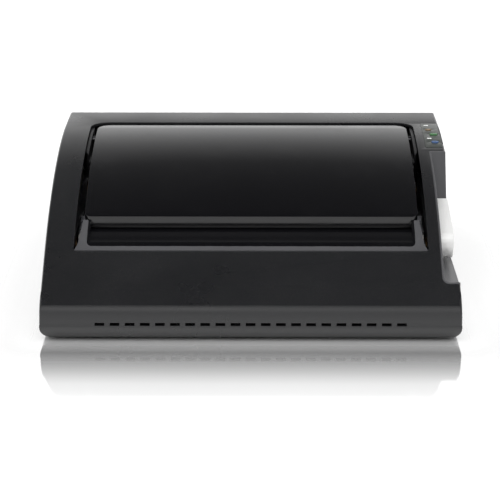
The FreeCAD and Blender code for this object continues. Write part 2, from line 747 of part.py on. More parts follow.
def lid_panel():
    """The gloss lid: a curved skin with a front lip, side skirts and a lug for each hinge pin."""
    low_side = -lid_half
    front, rear = back(lid.front), back(lid.back)
    plan = [at(low_side, front, lid.corner), at(lid_half, front, lid.corner),
            at(lid_half, rear, lid.rear_corner), at(low_side, rear, lid.rear_corner)]
    panel_skin = skin("lid_skin", plan, size(0), lid.skin)
    lip_rear = back(lid.front + lid.corner + 2)
    lip_plan = [at(low_side, front, lid.corner), at(lid_half, front, lid.corner),
                at(lid_half, lip_rear), at(low_side, lip_rear)]
    inside = lid_half - lid.skin
    turn = lid.corner - lid.skin
    hollow_plan = [at(-inside, front + lid.skin, turn), at(inside, front + lid.skin, turn),
                   at(inside, lip_rear + 1), at(-inside, lip_rear + 1)]
    lip = cut("lid_lip", skin("lid_lip_band", lip_plan, lid.skin / 2, lid.lip), prism(
        "lid_lip_hollow", "plan", hollow_plan, (0, casing.height + HIGH_ABOVE)))
    pieces = [panel_skin, lip]
    for number, span in enumerate(mirrored(lid_half - lid.skin, lid_half)):
        skirt_plan = [at(span[0], back(lid.front + lid.corner)), at(span[1], back(lid.front + lid.corner)),
                      at(span[1], back(lid.back - lid.rear_corner)),
                      at(span[0], back(lid.back - lid.rear_corner))]
        pieces.append(skin("lid_skirt_%d" % number, skirt_plan, lid.skin / 2, lid.skirt))
        lug_span = mirrored(lid_half - pivot.lug, lid_half)[number]
        lug = prism("lid_lug_%d" % number, "side", [
            at(back(pivot.back - 8), pivot_height - 6, 4), at(back(pivot.back + 8), pivot_height - 6, 4),
            at(back(pivot.back + 8), casing.height + 5), at(back(pivot.back - 8), casing.height + 5)],
            lug_span)
        pieces.append(common("lid_lug_trim_%d" % number, lug, under("lid_lug_top_%d" % number, 1)))
    bores = [rod("lid_bore_%d" % number, "x", (back(pivot.back), pivot_height), pivot.radius + 0.05, span)
             for number, span in enumerate(mirrored(lid_half - pivot.lug - 1, lid_half + 1))]
    return cut("lid_panel", fuse("lid_whole", *pieces), *bores)


def hinge_pins():
    """The two pins, held in the rear deck's cheeks, that the lid swings on."""
    pins = [turned("hinge_pin_%d" % number, "x", (back(pivot.back), pivot_height), [
        at(0.0, low), at(pivot.radius, low), at(pivot.radius, high), at(0.0, high)])
        for number, (low, high) in enumerate(mirrored(open_half - 0.5 - pivot.reach, open_half - 0.5))]
    return set_of("hinge_pins", *pins)


# ---------------------------------------------------------------- lever and comb opener

lever_axis = (back(lever.hub_back), lever.hub_height)
pinion_radius = gears.module * LEVER_PINION_TEETH / 2
pinion_span = (frame_inner - 8.5, frame_inner - 3.5)
rack_rear = DEDENDUM + 2.75


def lever_recess_liner():
    """The dark moulding that lines the lever's notch, with a hole for the shaft."""
    inner = half - notch.depth
    space = notch_column("liner_space", notch.wall, (inner - notch.wall, half))
    cavity = notch_column("liner_cavity", size(0), (inner, half + 1))
    filled = common("liner_filled", space, under("liner_top", size(0.05)))
    side_end = block("liner_side", (inner - notch.wall - 1, half), (
        back(notch.front - notch.wall - 1), back(casing.depth)), (0, casing.height + HIGH_ABOVE))
    hole = rod("liner_hole", "x", lever_axis, shaft.lever_radius + 0.5, (inner - 5, inner + 5))
    strip = skin("liner_strip", bezel_plan(size(0.2)), size(-5), bezel.thick)
    return cut("lever_recess_liner", common("liner_trim", filled, side_end), cavity, hole, strip)


def binding_lever():
    """The silver lever in the notch, with a rounded hub and a tapering arm."""
    low, high = half - notch.depth + lever.side_gap, half
    hub_front = lever.hub_back - lever.hub_reach
    hub_low = lever.hub_height - lever.hub_below
    body = prism("lever_body", "side", [
        at(back(hub_front), hub_low, lever.hub_turn),
        at(back(lever.hub_back + lever.arm_start), hub_low, lever.heel_turn),
        at(back(lever.end_back - lever.tip_short), lever.end_height - lever.tip_drop, lever.tip_turn),
        at(back(lever.end_back), lever.end_height, lever.tip_turn),
        at(back(lever.hub_back + lever.arm_run), lever.hub_height + lever.arm_rise, lever.arm_turn),
        at(back(hub_front), lever.hub_height + lever.hub_above, 9)],
        (low, high))
    doc.recompute()
    pad = body.Group[1]
    edges = ["Edge%d" % (number + 1) for number, edge in enumerate(pad.Shape.Edges)
             if all(abs(vertex.Point.x - high.value) < 0.01 for vertex in edge.Vertexes)
             or all(abs(vertex.Point.x - low.value) < 0.01 for vertex in edge.Vertexes)]
    rounding = body.newObject("PartDesign::Fillet", "lever_rounding")
    rounding.Base = (pad, edges)
    rounding.setExpression("Radius", lever.rounding.formula)
    body.Tip = rounding
    bore = rod("lever_bore", "x", lever_axis, shaft.lever_radius, (low - 1, high - 6))
    recess = rod("lever_recess", "x", lever_axis, 6, (high - 4, high + 1))
    through = rod("lever_through", "x", lever_axis, screw.shank, (high - 7, high - 3))
    return cut("binding_lever", body, bore, recess, through)


def lever_shaft():
    low, high = -frame_outer - 1.5, half - 6
    bar = rod("lever_shaft_bar", "x", lever_axis, shaft.lever_radius, (low, high))
    thread = rod("lever_shaft_thread", "x", lever_axis, screw.shank, (high - 12, high + 1))
    return cut("lever_shaft", bar, thread)


def lever_screw():
    """The screw that holds the lever on its shaft, its head sunk in the hub."""
    high = half - 1
    return turned("lever_screw", "x", lever_axis, [
        at(0.0, high - 15), at(screw.shank, high - 15), at(screw.shank, high - 3), at(5.0, high - 3),
        at(5.0, high - 0.8), at(4.2, high), at(0.0, high)])


def comb_pinions():
    """The two pinions on the lever's shaft that drive the hook plate's racks."""
    pair = [spur_gear("comb_pinion_%d" % number, LEVER_PINION_TEETH, lever_axis, span,
                      shaft.lever_radius, 90) for number, span in enumerate(mirrored(*pinion_span))]
    return set_of("comb_pinions", *pair)


rack_line = lever.hub_height + pinion_radius
plate_low = comb.floor + comb.plate_gap
plate_high = plate_low + comb.plate_thick


def comb_racks():
    """The racks under the ends of the hook plate, each with a riser up to the plate."""
    pair = []
    for number, span in enumerate(mirrored(*pinion_span)):
        teeth = rack("comb_rack_teeth_%d" % number, (back(lever.hub_back), rack_line), (6, 28),
                     rack_rear, span)
        riser = block("comb_rack_riser_%d" % number, span,
                      (back(comb.plate_front), back(lever.hub_back + 28)),
                      (rack_line + 2, plate_low))
        pair.append(fuse("comb_rack_%d" % number, teeth, riser))
    return set_of("comb_racks", *pair)


def hook_plate():
    """The sliding plate with its row of hooks, which pulls the comb's rings open."""
    reach = frame_inner - 3.2
    plate = block("hook_plate_bar", (-reach, reach), (back(comb.plate_front), back(comb.plate_back)),
                  (plate_low, plate_high))
    stem_back = comb.plate_back - 6
    top = plate_high + comb.hook_tall
    hook = prism("hook_row", "side", [
        at(back(stem_back), plate_high - 0.5), at(back(stem_back), top, 2),
        at(back(stem_back - 8), top, 1), at(back(stem_back - 8), top - 3, 0.8),
        at(back(stem_back - 4), top - 3, 1), at(back(stem_back - 4), plate_high - 0.5)],
        (first_ring - comb.hook_wide / 2, first_ring + comb.hook_wide / 2))
    return fuse("hook_plate", plate, in_a_row(hook, "N_Axis"))


def comb_rake():
    """The fixed rake whose fingers stand between the comb's rings."""
    deep = (back(comb.rake_back), back(comb.rake_back + comb.rake_thick))
    bar = block("rake_bar", (-comb.half_length, comb.half_length), deep, (comb.floor, comb.floor + 7))
    low, high = first_ring - comb.hook_wide / 2, first_ring + comb.hook_wide / 2
    finger = prism("rake_row", "front", [
        at(low, comb.floor + 5), at(high, comb.floor + 5),
        at(high, comb.rake_top, 2), at(low, comb.rake_top, 2)], deep)
    return fuse("comb_rake", bar, in_a_row(finger, "H_Axis"))


def comb_deck():
    """The flat deck that the hook plate slides over."""
    reach = pinion_span[0] - 1.5
    low = comb.floor - comb.skin
    front, rear = tray.back + 0.4, cover_front - 0.3
    lip_high = comb.floor + 3.5
    return prism("comb_deck", "side", [
        at(back(front), low), at(back(rear), low), at(back(rear), comb.floor),
        at(back(front + comb.skin), comb.floor), at(back(front + comb.skin), lip_high),
        at(back(front), lip_high)], (-reach, reach))


# ---------------------------------------------------------------- punch

die_back = punch.die_front + punch.die_thick
guide_front = die_back + punch.throat
guide_back = guide_front + punch.die_thick
cover_front = punch.die_front - 6.3
cover_high = punch.high + 0.2 + punch.cover
throat_gap = size(0.4)


def hole_row(name, wide, tall, deep):
    low = first_ring - wide / 2
    high = first_ring + wide / 2
    return in_a_row(prism(name, "front", [
        at(low, punch.height - tall / 2), at(high, punch.height - tall / 2),
        at(high, punch.height + tall / 2), at(low, punch.height + tall / 2)], deep), "H_Axis")


def punch_plate(name, front, deep, bore_radius):
    """A steel plate with the row of punch holes and a hole for the margin shaft."""
    plate = block(name + "_plate", (-punch.half_length, punch.half_length), (back(front), back(front + deep)),
                  (punch.low, punch.high))
    clear = (back(front - 1), back(front + deep + 1))
    holes = hole_row(name + "_holes", punch.hole_wide, punch.hole_tall, clear)
    shaft_hole = rod(name + "_bore", "y", margin_axis, bore_radius, clear)
    return cut(name, plate, holes, shaft_hole)


def throat_spacers():
    """The strips between the two plates that leave the paper's slot open."""
    deep = (back(die_back), back(guide_front))
    reach = punch.half_length
    return set_of(
        "throat_spacers",
        block("spacer_low", (-reach, reach), deep, (punch.low, punch.low + 1.7)),
        block("spacer_left", (-reach, -punch.paper_half - 0.3), deep, (punch.low + 1.7, punch.high)),
        block("spacer_right", (reach - 2.5, reach), deep, (punch.low + 1.7, punch.high)))


def punch_cover():
    """The folded cover in front of the die plate."""
    reach = punch.half_length
    low = comb.floor - comb.skin
    fold = prism("cover_fold", "side", [
        at(back(cover_front), low), at(back(cover_front + punch.cover), low),
        at(back(cover_front + punch.cover), cover_high - punch.cover),
        at(back(die_back - 0.2), cover_high - punch.cover), at(back(die_back - 0.2), cover_high, 1),
        at(back(cover_front), cover_high, 2)], (-reach, reach))
    hole = rod("cover_hole", "y", margin_axis, margin_rod + 0.4,
               (back(cover_front - 1), back(cover_front + 4)))
    return cut("punch_cover", fold, hole)


def rear_deck():
    """The dark moulding behind the punch, with the lid's hinge cheeks and a well for its rear edge."""
    reach = open_half - 0.5
    top = cover_high - 0.2
    well = size(106)
    thick = comb.skin
    rear = opening.back - 1
    rise = surface(rear, 3)
    floor = prism("rear_floor", "side", [
        at(back(guide_back + 0.3), top - thick), at(back(size(247)), top - thick),
        at(back(size(256)), well - thick), at(back(rear), well - thick), at(back(rear), rise),
        at(back(rear - thick), rise), at(back(rear - thick), well), at(back(size(258)), well),
        at(back(size(248)), top), at(back(guide_back + 0.3), top)], (-reach, reach))
    cheeks = [common("rear_cheek_%d" % number, block(
        "rear_cheek_block_%d" % number, span, (back(size(208)), back(rear)),
        (well - thick, casing.height + HIGH_ABOVE)), under("rear_cheek_top_%d" % number, 3))
        for number, span in enumerate(mirrored(reach - 3, reach))]
    bores = [rod("rear_bore_%d" % number, "x", (back(pivot.back), pivot_height), pivot.radius, span)
             for number, span in enumerate(mirrored(reach - 4, reach + 1))]
    corner_plan = rounded_rectangle((-reach, reach), (back(size(200)), back(rear)), opening.corner)
    column = prism("rear_plan", "plan", corner_plan, (0, casing.height + HIGH_ABOVE))
    whole = common("rear_trim", fuse("rear_whole", floor, *cheeks), column)
    return cut("rear_deck", whole, *bores)


def punch_pins():
    """The row of rectangular punches."""
    return set_of("punch_pins", hole_row(
        "punch_pin_row", punch.pin_wide, punch.pin_tall, (back(guide_front + 0.4), back(punch.ram_back))))


ram_line = shaft.punch_height + gears.module * RAM_GEAR_TEETH / 2
ram_gear_span = (size(119.5), size(126.5))


def punch_ram():
    """The bar that carries the punches, with a rack under it at each ram gear."""
    low = punch.height - punch.ram_tall / 2
    bar = block("ram_bar", (-comb.half_length, comb.half_length),
                (back(punch.ram_back), back(punch.ram_back + punch.ram_deep)), (low, low + punch.ram_tall))
    racks = [rack("ram_rack_%d" % number, (back(shaft.punch_back), ram_line), (6, 15), 6, span)
             for number, span in enumerate(mirrored(*ram_gear_span))]
    return fuse("punch_ram", bar, *racks)


punch_axis = (back(shaft.punch_back), shaft.punch_height)


def punch_shaft():
    return turned("punch_shaft", "x", punch_axis, [
        at(0.0, -drive_span[1] - 1), at(shaft.punch_radius, -drive_span[1] - 1),
        at(shaft.punch_radius, frame_outer + 1), at(0.0, frame_outer + 1)])


def ram_gears():
    pair = [spur_gear("ram_gear_%d" % number, RAM_GEAR_TEETH, punch_axis, span, shaft.punch_radius, 90)
            for number, span in enumerate(mirrored(*ram_gear_span))]
    return set_of("ram_gears", *pair)


drive_span = (frame_outer + 3.5, frame_outer + 3.5 + gears.face)
idler_span = (drive_span[1] + 2, drive_span[1] + 7)


def step_from(place, distance, direction):
    """A point in the side view at a distance and an angle from another."""
    angle = math.radians(direction)
    return place[0] + distance * math.cos(angle), place[1] + distance * math.sin(angle)


idler_axis = step_from(
    punch_axis, gears.module * (DRIVE_GEAR_TEETH + IDLER_SMALL_TEETH) / 2, IDLER_DIRECTION)
motor_axis = step_from(
    idler_axis, gears.module * (IDLER_LARGE_TEETH + MOTOR_PINION_TEETH) / 2, MOTOR_DIRECTION)
idler_radius = size(4)


def drive_gear():
    """The large gear on the end of the punch shaft."""
    return spur_gear("drive_gear", DRIVE_GEAR_TEETH, punch_axis, (-drive_span[1], -drive_span[0]),
                     shaft.punch_radius, IDLER_DIRECTION)


def idler_gear():
    """The stepped gear between the motor and the drive gear."""
    bore = idler_radius + 0.06
    small = spur_gear("idler_small", IDLER_SMALL_TEETH, idler_axis, (-idler_span[0], -drive_span[0]), bore,
                      IDLER_DIRECTION + 180, gap=True)
    large = spur_gear("idler_large", IDLER_LARGE_TEETH, idler_axis, (-idler_span[1], -idler_span[0]), bore,
                      MOTOR_DIRECTION)
    return fuse("idler_gear", small, large)


def idler_axle():
    return rod("idler_axle", "x", idler_axis, idler_radius, (-idler_span[1] - 1.5, -frame_inner))


def motor_pinion():
    """The motor's shaft with its pinion."""
    teeth = spur_gear("motor_pinion_teeth", MOTOR_PINION_TEETH, motor_axis, (-idler_span[1], -idler_span[0]),
                      1, MOTOR_DIRECTION + 180, gap=True)
    stem = rod("motor_stem", "x", motor_axis, motor_stem, (-idler_span[1] - 1, -frame_inner + 8))
    return fuse("motor_pinion", teeth, stem)


motor_stem = size(2.5)


def drive_motor():
    """The motor's can, flanged to the left side frame."""
    low, high = -frame_inner, -frame_inner + 62
    can = turned("motor_can", "x", motor_axis, [
        at(0.0, low), at(20.0, low), at(20.0, high - 6, 2), at(14.0, high - 6), at(14.0, high),
        at(0.0, high)])
    return cut("drive_motor", can, rod("motor_hole", "x", motor_axis, motor_stem + 0.06, (low - 1, low + 9)))


# ---------------------------------------------------------------- side frames

def side_frame(name, span):
    """A steel side plate, with a window for the drawer and holes for shafts and bushes."""
    window_front = drawer.front - 3
    window_back = drawer.back + 3
    plate = prism(name + "_plate", "side", [
        at(back(frames.front), base_floor, 2), at(back(window_front), base_floor, 2),
        at(back(window_front), frames.window, 3), at(back(window_back), frames.window, 3),
        at(back(window_back), base_floor, 2), at(back(frames.back), base_floor, 2),
        at(back(frames.back), 68, 6), at(back(size(290)), 98, 8), at(back(size(205)), 98, 20),
        at(back(size(130)), 76, 20), at(back(frames.front), 74, 8)], span)
    clear = (span[0] - 1, span[1] + 1)
    holes = [rod(name + "_lever_hole", "x", lever_axis, shaft.lever_radius + shaft.bush, clear),
             rod(name + "_punch_hole", "x", punch_axis, shaft.punch_radius + shaft.bush, clear)]
    for number, place in enumerate(tie_places):
        holes.append(rod("%s_tie_hole_%d" % (name, number), "x", place, screw.shank + 0.2, clear))
    if size(span[0]).value < 0:
        holes.append(rod(name + "_motor_hole", "x", motor_axis, 8, clear))
        holes.append(rod(name + "_idler_hole", "x", idler_axis, idler_radius, clear))
    return cut(name, plate, *holes)


tie_places = [(back(size(120)), size(24)), (back(size(180)), size(62)), (back(size(262)), size(56))]


def tie_rods():
    """The round bars that hold the two side frames apart."""
    bars = []
    for number, place in enumerate(tie_places):
        bar = rod("tie_bar_%d" % number, "x", place, 4, (-frame_inner, frame_inner))
        ends = [rod("tie_tap_%d_%d" % (number, side), "x", place, screw.shank + 0.05, span)
                for side, span in enumerate(mirrored(frame_inner - 10, frame_inner + 1))]
        bars.append(cut("tie_rod_%d" % number, bar, *ends))
    return set_of("tie_rods", *bars)


def frame_screws():
    """The screws through the side frames into the tie rods."""
    screws = []
    for number, place in enumerate(tie_places):
        for side in (-1, 1):
            inner, face = size(side) * (frame_inner - 8), size(side) * frame_outer
            head = size(side) * (frame_outer + screw.head_thick)
            shank = (inner, face) if side > 0 else (face, inner)
            cap = (face, head) if side > 0 else (head, face)
            label = "frame_screw_%d_%d" % (number, side + 1)
            screws.append(fuse(label, rod(label + "_shank", "x", place, screw.shank, shank),
                               rod(label + "_head", "x", place, screw.head, cap)))
    return set_of("frame_screws", *screws)


def shaft_bushes():
    """Flanged bushes in the side frames for the lever's shaft and the punch shaft."""
    bushes = []
    for kind, axis, radius in (("lever", lever_axis, shaft.lever_radius),
                               ("punch", punch_axis, shaft.punch_radius)):
        for side, (low, high) in enumerate(mirrored(frame_inner, frame_outer)):
            label = "bush_%s_%d" % (kind, side)
            flange = (high, high + 1.5) if side == 0 else (low - 1.5, low)
            outer = radius + shaft.bush
            sleeve = fuse(label + "_sleeve", rod(label + "_barrel", "x", axis, outer, (low, high)),
                          rod(label + "_flange", "x", axis, outer + 2, flange))
            bushes.append(cut(label, sleeve, rod(
                label + "_bore", "x", axis, radius + 0.05, (low - 3, high + 3))))
    return set_of("shaft_bushes", *bushes)


# ---------------------------------------------------------------- margin stop and edge guide

margin_radius = gears.small_module * MARGIN_PINION_TEETH / 2
margin_line = punch.paper_half + 3.5
margin_axis = (margin_line + margin_radius, punch.height + 4)
margin_rod = size(2.5)


def margin_pinion():
    """The margin dial's spindle with its pinion, which moves the stop up and down."""
    teeth = spur_gear("margin_teeth", MARGIN_PINION_TEETH, margin_axis,
                      (back(die_back + throat_gap), back(guide_front - throat_gap)), 1, -90,
                      module=gears.small_module, axis="y")
    stem = rod("margin_stem", "y", margin_axis, margin_rod, (back(cover_front - 11), back(guide_back - 2)))
    return fuse("margin_pinion", teeth, stem)


def margin_dial():
    """The finger knob that sets how far the holes are from the paper's edge."""
    front = cover_front - 12.5
    knob = turned("margin_knob", "y", margin_axis, [
        at(0.0, back(front)), at(8.2, back(front)), at(9.0, back(front + 0.8)), at(9.0, back(front + 8)),
        at(10.0, back(front + 9)), at(10.0, back(front + 11)), at(0.0, back(front + 11))])
    bore = rod("margin_knob_bore", "y", margin_axis, margin_rod, (back(cover_front - 11), back(cover_front)))
    return cut("margin_dial", knob, bore)


def margin_stop():
    """The blade in the bottom of the paper's slot, with a rack at its right end."""
    deep = (back(die_back + throat_gap), back(guide_front - throat_gap))
    low = punch.low + 5
    reach = punch.paper_half - 0.5
    blade = block("margin_blade", (-reach, reach), deep, (low, low + 5))
    teeth = rack("margin_rack", (margin_line, margin_axis[1]), (9, 7), 4, deep,
                 module=gears.small_module, stands=True)
    post = block("margin_post", (reach - 1, margin_line - 1.5), deep, (low, margin_axis[1] - 6))
    return fuse("margin_stop", blade, teeth, post)


def edge_guide():
    """The sliding stop that lines up the side of the paper."""
    low = -punch.paper_half + 0.5
    saddle = block("guide_saddle", (low, low + 12), (back(cover_front + 4), back(guide_back + 2)),
                   (cover_high + 0.3, cover_high + 3))
    fence = block("guide_fence", (low, low + 2.5),
                  (back(die_back + throat_gap), back(guide_front - throat_gap)),
                  (punch.height + 3, cover_high + 1))
    grip = block("guide_grip", (low + 2, low + 10), (back(cover_front + 5), back(cover_front + 7)),
                 (cover_high + 2, cover_high + 3.6))
    return fuse("edge_guide", saddle, fence, grip)


# ---------------------------------------------------------------- chip drawer

drawer_inner_end = -half + drawer.length


def chip_drawer():
    """The drawer under the punch that catches the paper chips and slides out at the left."""
    side_gap = drawer.gap + 3.5
    front = (back(drawer.front + side_gap), back(drawer.back - side_gap))
    low = drawer.low + drawer.gap
    high = drawer.high - 3.5
    box = block("drawer_box", (-half + 14, drawer_inner_end), front, (low, high))
    hollow = block("drawer_hollow", (-half + 14, drawer_inner_end - drawer.wall),
                   (front[0] + drawer.wall, front[1] - drawer.wall), (low + drawer.wall, high + 1))
    face = block("drawer_face", (-half, -half + 14), (back(drawer.front), back(drawer.back)),
                 (low, drawer.high))
    middle = (back(drawer.front) + back(drawer.back)) / 2
    pull = prism("drawer_pull", "plan", rounded_rectangle(
        (-half - 8, -half + 11), (middle - 25, middle + 25), 6), (low + 7, drawer.high - 8))
    lip = prism("drawer_lip", "plan", rounded_rectangle(
        (-half + 3, -half + 11), (middle - 25, middle + 25), 3), (drawer.high - 9, drawer.high - 4))
    return cut("chip_drawer", fuse("drawer_whole", cut("drawer_tub", box, hollow), face), pull, lip)


def drawer_rails():
    """The two ledges on the base that the drawer slides on."""
    rails = []
    for number, (edge, way) in enumerate(((drawer.front, 1), (drawer.back, -1))):
        outer = back(edge)
        wall = outer + way * 3.5
        ledge = outer + way * 10
        span = (-frame_inner + 2, drawer_inner_end + 2)
        low, high = (outer, ledge) if way > 0 else (ledge, outer)
        first = block("rail_ledge_%d" % number, span, (low, high),
                      (base_floor, drawer.low + drawer.gap - 0.3))
        low, high = (outer, wall) if way > 0 else (wall, outer)
        second = block("rail_side_%d" % number, span, (low, high), (drawer.low - 1, drawer.low + 14))
        rails.append(fuse("drawer_rail_%d" % number, first, second))
    return set_of("drawer_rails", *rails)


def drawer_switch():
    """The small switch that stops the punch while the drawer is out."""
    low = drawer_inner_end + 3
    middle = (back(drawer.front) + back(drawer.back)) / 2
    body = block("drawer_switch_body", (low, low + 7), (middle - 10, middle + 10),
                 (base_floor, base_floor + 22))
    button = block("drawer_switch_button", (low - 1.6, low + 1), (middle - 1.5, middle + 1.5),
                   (base_floor + 15, base_floor + 18))
    return fuse("drawer_switch", body, button)


# ---------------------------------------------------------------- controls and power

bezel_right = half - bezel.edge_gap
board_top = size(122.6)
board_posts = (size(213.5), size(299.5))
board_middle = half - 10
BUTTONS = {
    "green_button": (size(191.5), size(256.5), size(4.2), size(3.0)),
    "blue_button": (size(191.2), size(234.5), size(3.8), size(3.0)),
    "amber_button": (size(187), size(272), size(3.2), size(2.4)),
}
LIGHTS = ((size(186), size(244.5)), (size(186), size(288.5)))


def bezel_plan(grow):
    return rounded_rectangle(
        (bezel_right - bezel.wide - grow, bezel_right + grow),
        (back(bezel.front - grow), back(bezel.back + grow)), 1.5)


def from_side(across):
    """A place on the control strip, kept at its distance from the right side."""
    return half - (size(200) - across)


def oval(name, place, grow, span):
    """An upright oval column round a button's place."""
    across, deep, wide, long = place
    middle = from_side(across)
    turn = (wide if wide.value < long.value else long) + grow - 0.1
    return prism(name, "plan", rounded_rectangle(
        (middle - wide - grow, middle + wide + grow), (back(deep) - long - grow, back(deep) + long + grow),
        turn), span)


def control_bezel():
    """The strip that frames the buttons and lights beside the lid."""
    high = casing.height + HIGH_ABOVE
    strip = skin("bezel_strip", bezel_plan(size(0)), -bezel.proud, bezel.thick - 0.1)
    holes = [oval(name + "_hole", place, size(0.3), (board_top, high)) for name, place in BUTTONS.items()]
    holes += [light_block("bezel_light_hole_%d" % number, place, (board_top, high))
              for number, place in enumerate(LIGHTS)]
    return cut("control_bezel", strip, *holes)


def light_block(name, place, span):
    middle = from_side(place[0])
    return block(name, (middle - 2.2, middle + 2.2), (back(place[1]) - 1.1, back(place[1]) + 1.1), span)


def indicator_lights():
    """Two small clear lenses in the strip."""
    lenses = []
    for number, place in enumerate(LIGHTS):
        top = surface(place[1]) + 0.35
        lenses.append(light_block("light_%d" % number, place, (top - 4, top)))
    return set_of("indicator_lights", *lenses)


def button(name):
    """A key cap that stands a little proud of the strip, with a stem down to its switch."""
    place = BUTTONS[name]
    top = surface(place[1]) + 0.9
    cap = oval(name + "_cap", place, size(0), (board_top + 5.2, top))
    flange = oval(name + "_flange", place, size(0.9), (board_top + 5.2, board_top + 6.4))
    return fuse(name, cap, flange)


def control_board():
    return block("control_board", (half - 21, half - 4), (back(size(211.5)), back(size(301.5))),
                 (board_top - 1.6, board_top))


def key_switches():
    """The tact switches under the buttons."""
    switches = []
    for name, place in BUTTONS.items():
        middle = from_side(place[0])
        body = block(name + "_switch_body", (middle - 3, middle + 3),
                     (back(place[1]) - 3, back(place[1]) + 3), (board_top, board_top + 3))
        plunger = rod(name + "_switch_plunger", "z", (middle, back(place[1])), 1.6,
                      (board_top + 3, board_top + 4.1))
        switches.append(fuse(name + "_switch", body, plunger))
    return set_of("key_switches", *switches)


power_left, power_right = size(20), size(130)
power_front, power_back = size(268), size(335)
board_stand = base_floor + 4


def power_board():
    return block("power_board", (power_left, power_right), (back(power_front), back(power_back)),
                 (board_stand, board_stand + 1.6))


def power_parts():
    """The transformer, a heat sink and two capacitors on the power board."""
    low = board_stand + 1.6
    deep = power_front + 12
    core = block("transformer_core", (power_left + 10, power_left + 52), (back(deep), back(deep + 36)),
                 (low, low + 36))
    winding = block("transformer_winding", (power_left + 17, power_left + 45),
                    (back(deep - 5), back(deep + 41)), (low + 7, low + 29))
    sink = block("heat_sink", (power_left + 62, power_left + 66), (back(deep), back(deep + 40)),
                 (low, low + 24))
    cans = [rod("capacitor_%d" % number, "z", (power_left + 84, back(deep + 8 + 22 * number)), 8,
                (low, low + 28)) for number in range(2)]
    return set_of("power_parts", fuse("transformer", core, winding), sink, *cans)


panel_face = casing.depth - casing.wall
inlet_middle = panel.right - 25
switch_middle = panel.left + 23
socket_height = (panel.low + panel.high) / 2


def service_panel():
    """The plate behind the rear opening that holds the inlet and the mains switch."""
    plate = block("service_plate", (panel.left - 3, panel.right + 3),
                  (back(panel_face - panel.thick), back(panel_face)), (panel.low - 3, panel.high + 3))
    deep = (back(panel_face - panel.thick - 1), back(panel_face + 1))
    inlet_hole = block("service_inlet_hole", (inlet_middle - 13, inlet_middle + 13), deep,
                       (socket_height - 9, socket_height + 9))
    switch_hole = block("service_switch_hole", (switch_middle - 10, switch_middle + 10), deep,
                        (socket_height - 8, socket_height + 8))
    return cut("service_panel", plate, inlet_hole, switch_hole)


def mains_inlet():
    """The three-pin mains inlet, with the cavity that the lead's connector goes into."""
    flange = block("inlet_flange", (inlet_middle - 15, inlet_middle + 15),
                   (back(panel_face), back(panel_face + 1.6)), (socket_height - 11, socket_height + 11))
    body = block("inlet_body", (inlet_middle - 13, inlet_middle + 13),
                 (back(panel_face - 20), back(panel_face + 1)), (socket_height - 9, socket_height + 9))
    socket = prism("inlet_socket", "front", [
        at(inlet_middle - 11.5, socket_height - 7.5, 1), at(inlet_middle + 11.5, socket_height - 7.5, 1),
        at(inlet_middle + 11.5, socket_height + 3, 1), at(inlet_middle + 7, socket_height + 7.5, 1),
        at(inlet_middle - 7, socket_height + 7.5, 1), at(inlet_middle - 11.5, socket_height + 3, 1)],
        (back(panel_face - 16), back(panel_face + 3)))
    return cut("mains_inlet", fuse("inlet_whole", flange, body), socket)


def inlet_pins():
    pins = []
    for number, (aside, above) in enumerate(((-7, -2), (0, 2), (7, -2))):
        pins.append(block("inlet_pin_%d" % number, (inlet_middle + aside - 1, inlet_middle + aside + 1),
                          (back(panel_face - 16), back(panel_face - 4)),
                          (socket_height + above - 2, socket_height + above + 2)))
    return set_of("inlet_pins", *pins)


rocker_axis = (back(panel_face - 4), socket_height)


def switch_housing():
    """The frame of the mains switch."""
    flange = block("switch_flange", (switch_middle - 12, switch_middle + 12),
                   (back(panel_face), back(panel_face + 1.2)), (socket_height - 10, socket_height + 10))
    body = block("switch_body", (switch_middle - 10, switch_middle + 10),
                 (back(panel_face - 15), back(panel_face + 1)), (socket_height - 8, socket_height + 8))
    well = block("switch_well", (switch_middle - 8.5, switch_middle + 8.5),
                 (back(panel_face - 12), back(panel_face + 3)), (socket_height - 6.6, socket_height + 6.6))
    sockets = rod("switch_pivot_hole", "x", rocker_axis, 1.55, (switch_middle - 9.5, switch_middle + 9.5))
    return cut("switch_housing", fuse("switch_whole", flange, body), well, sockets)


def rocker():
    """The mains switch's rocker, tipped to its off side at rest."""
    paddle = prism("rocker_paddle", "side", [
        at(-3, -4), at(5.2, -5.2, 0.8), at(4.3, 0), at(5.2, 5.2, 0.8), at(-3, 4)],
        (switch_middle - 8.1, switch_middle + 8.1))
    paddle.Placement = FreeCAD.Placement(V(), FreeCAD.Rotation(V(1, 0, 0), -8))
    paddle.setExpression(".Placement.Base.y", rocker_axis[0].formula)
    paddle.setExpression(".Placement.Base.z", rocker_axis[1].formula)
    pivots = rod("rocker_pivots", "x", rocker_axis, 1.5, (switch_middle - 9.3, switch_middle + 9.3))
    return fuse("rocker", paddle, pivots)


# ---------------------------------------------------------------- assembly and export

NODES = [
    base_pan(), upper_housing(), rubber_feet(), housing_screws(), inner_frame(), finger_tray(),
    lid_panel(), hinge_pins(), lever_recess_liner(), binding_lever(), lever_shaft(), lever_screw(),
    comb_pinions(), comb_racks(), hook_plate(), comb_rake(), comb_deck(),
    punch_plate("die_plate", punch.die_front, punch.die_thick, margin_rod + 0.3),
    punch_plate("guide_plate", guide_front, punch.die_thick, margin_rod + 0.05),
    throat_spacers(), punch_cover(), rear_deck(), punch_pins(), punch_ram(), punch_shaft(), ram_gears(),
    drive_gear(), idler_gear(), idler_axle(), motor_pinion(), drive_motor(),
    side_frame("left_frame", (-frame_outer, -frame_inner)),
    side_frame("right_frame", (frame_inner, frame_outer)),
    tie_rods(), frame_screws(), shaft_bushes(), margin_pinion(), margin_dial(), margin_stop(), edge_guide(),
    chip_drawer(), drawer_rails(), drawer_switch(), control_bezel(), indicator_lights(),
    button("green_button"), button("blue_button"), button("amber_button"), control_board(), key_switches(),
    power_board(), power_parts(), service_panel(), mains_inlet(), inlet_pins(), switch_housing(), rocker(),
]


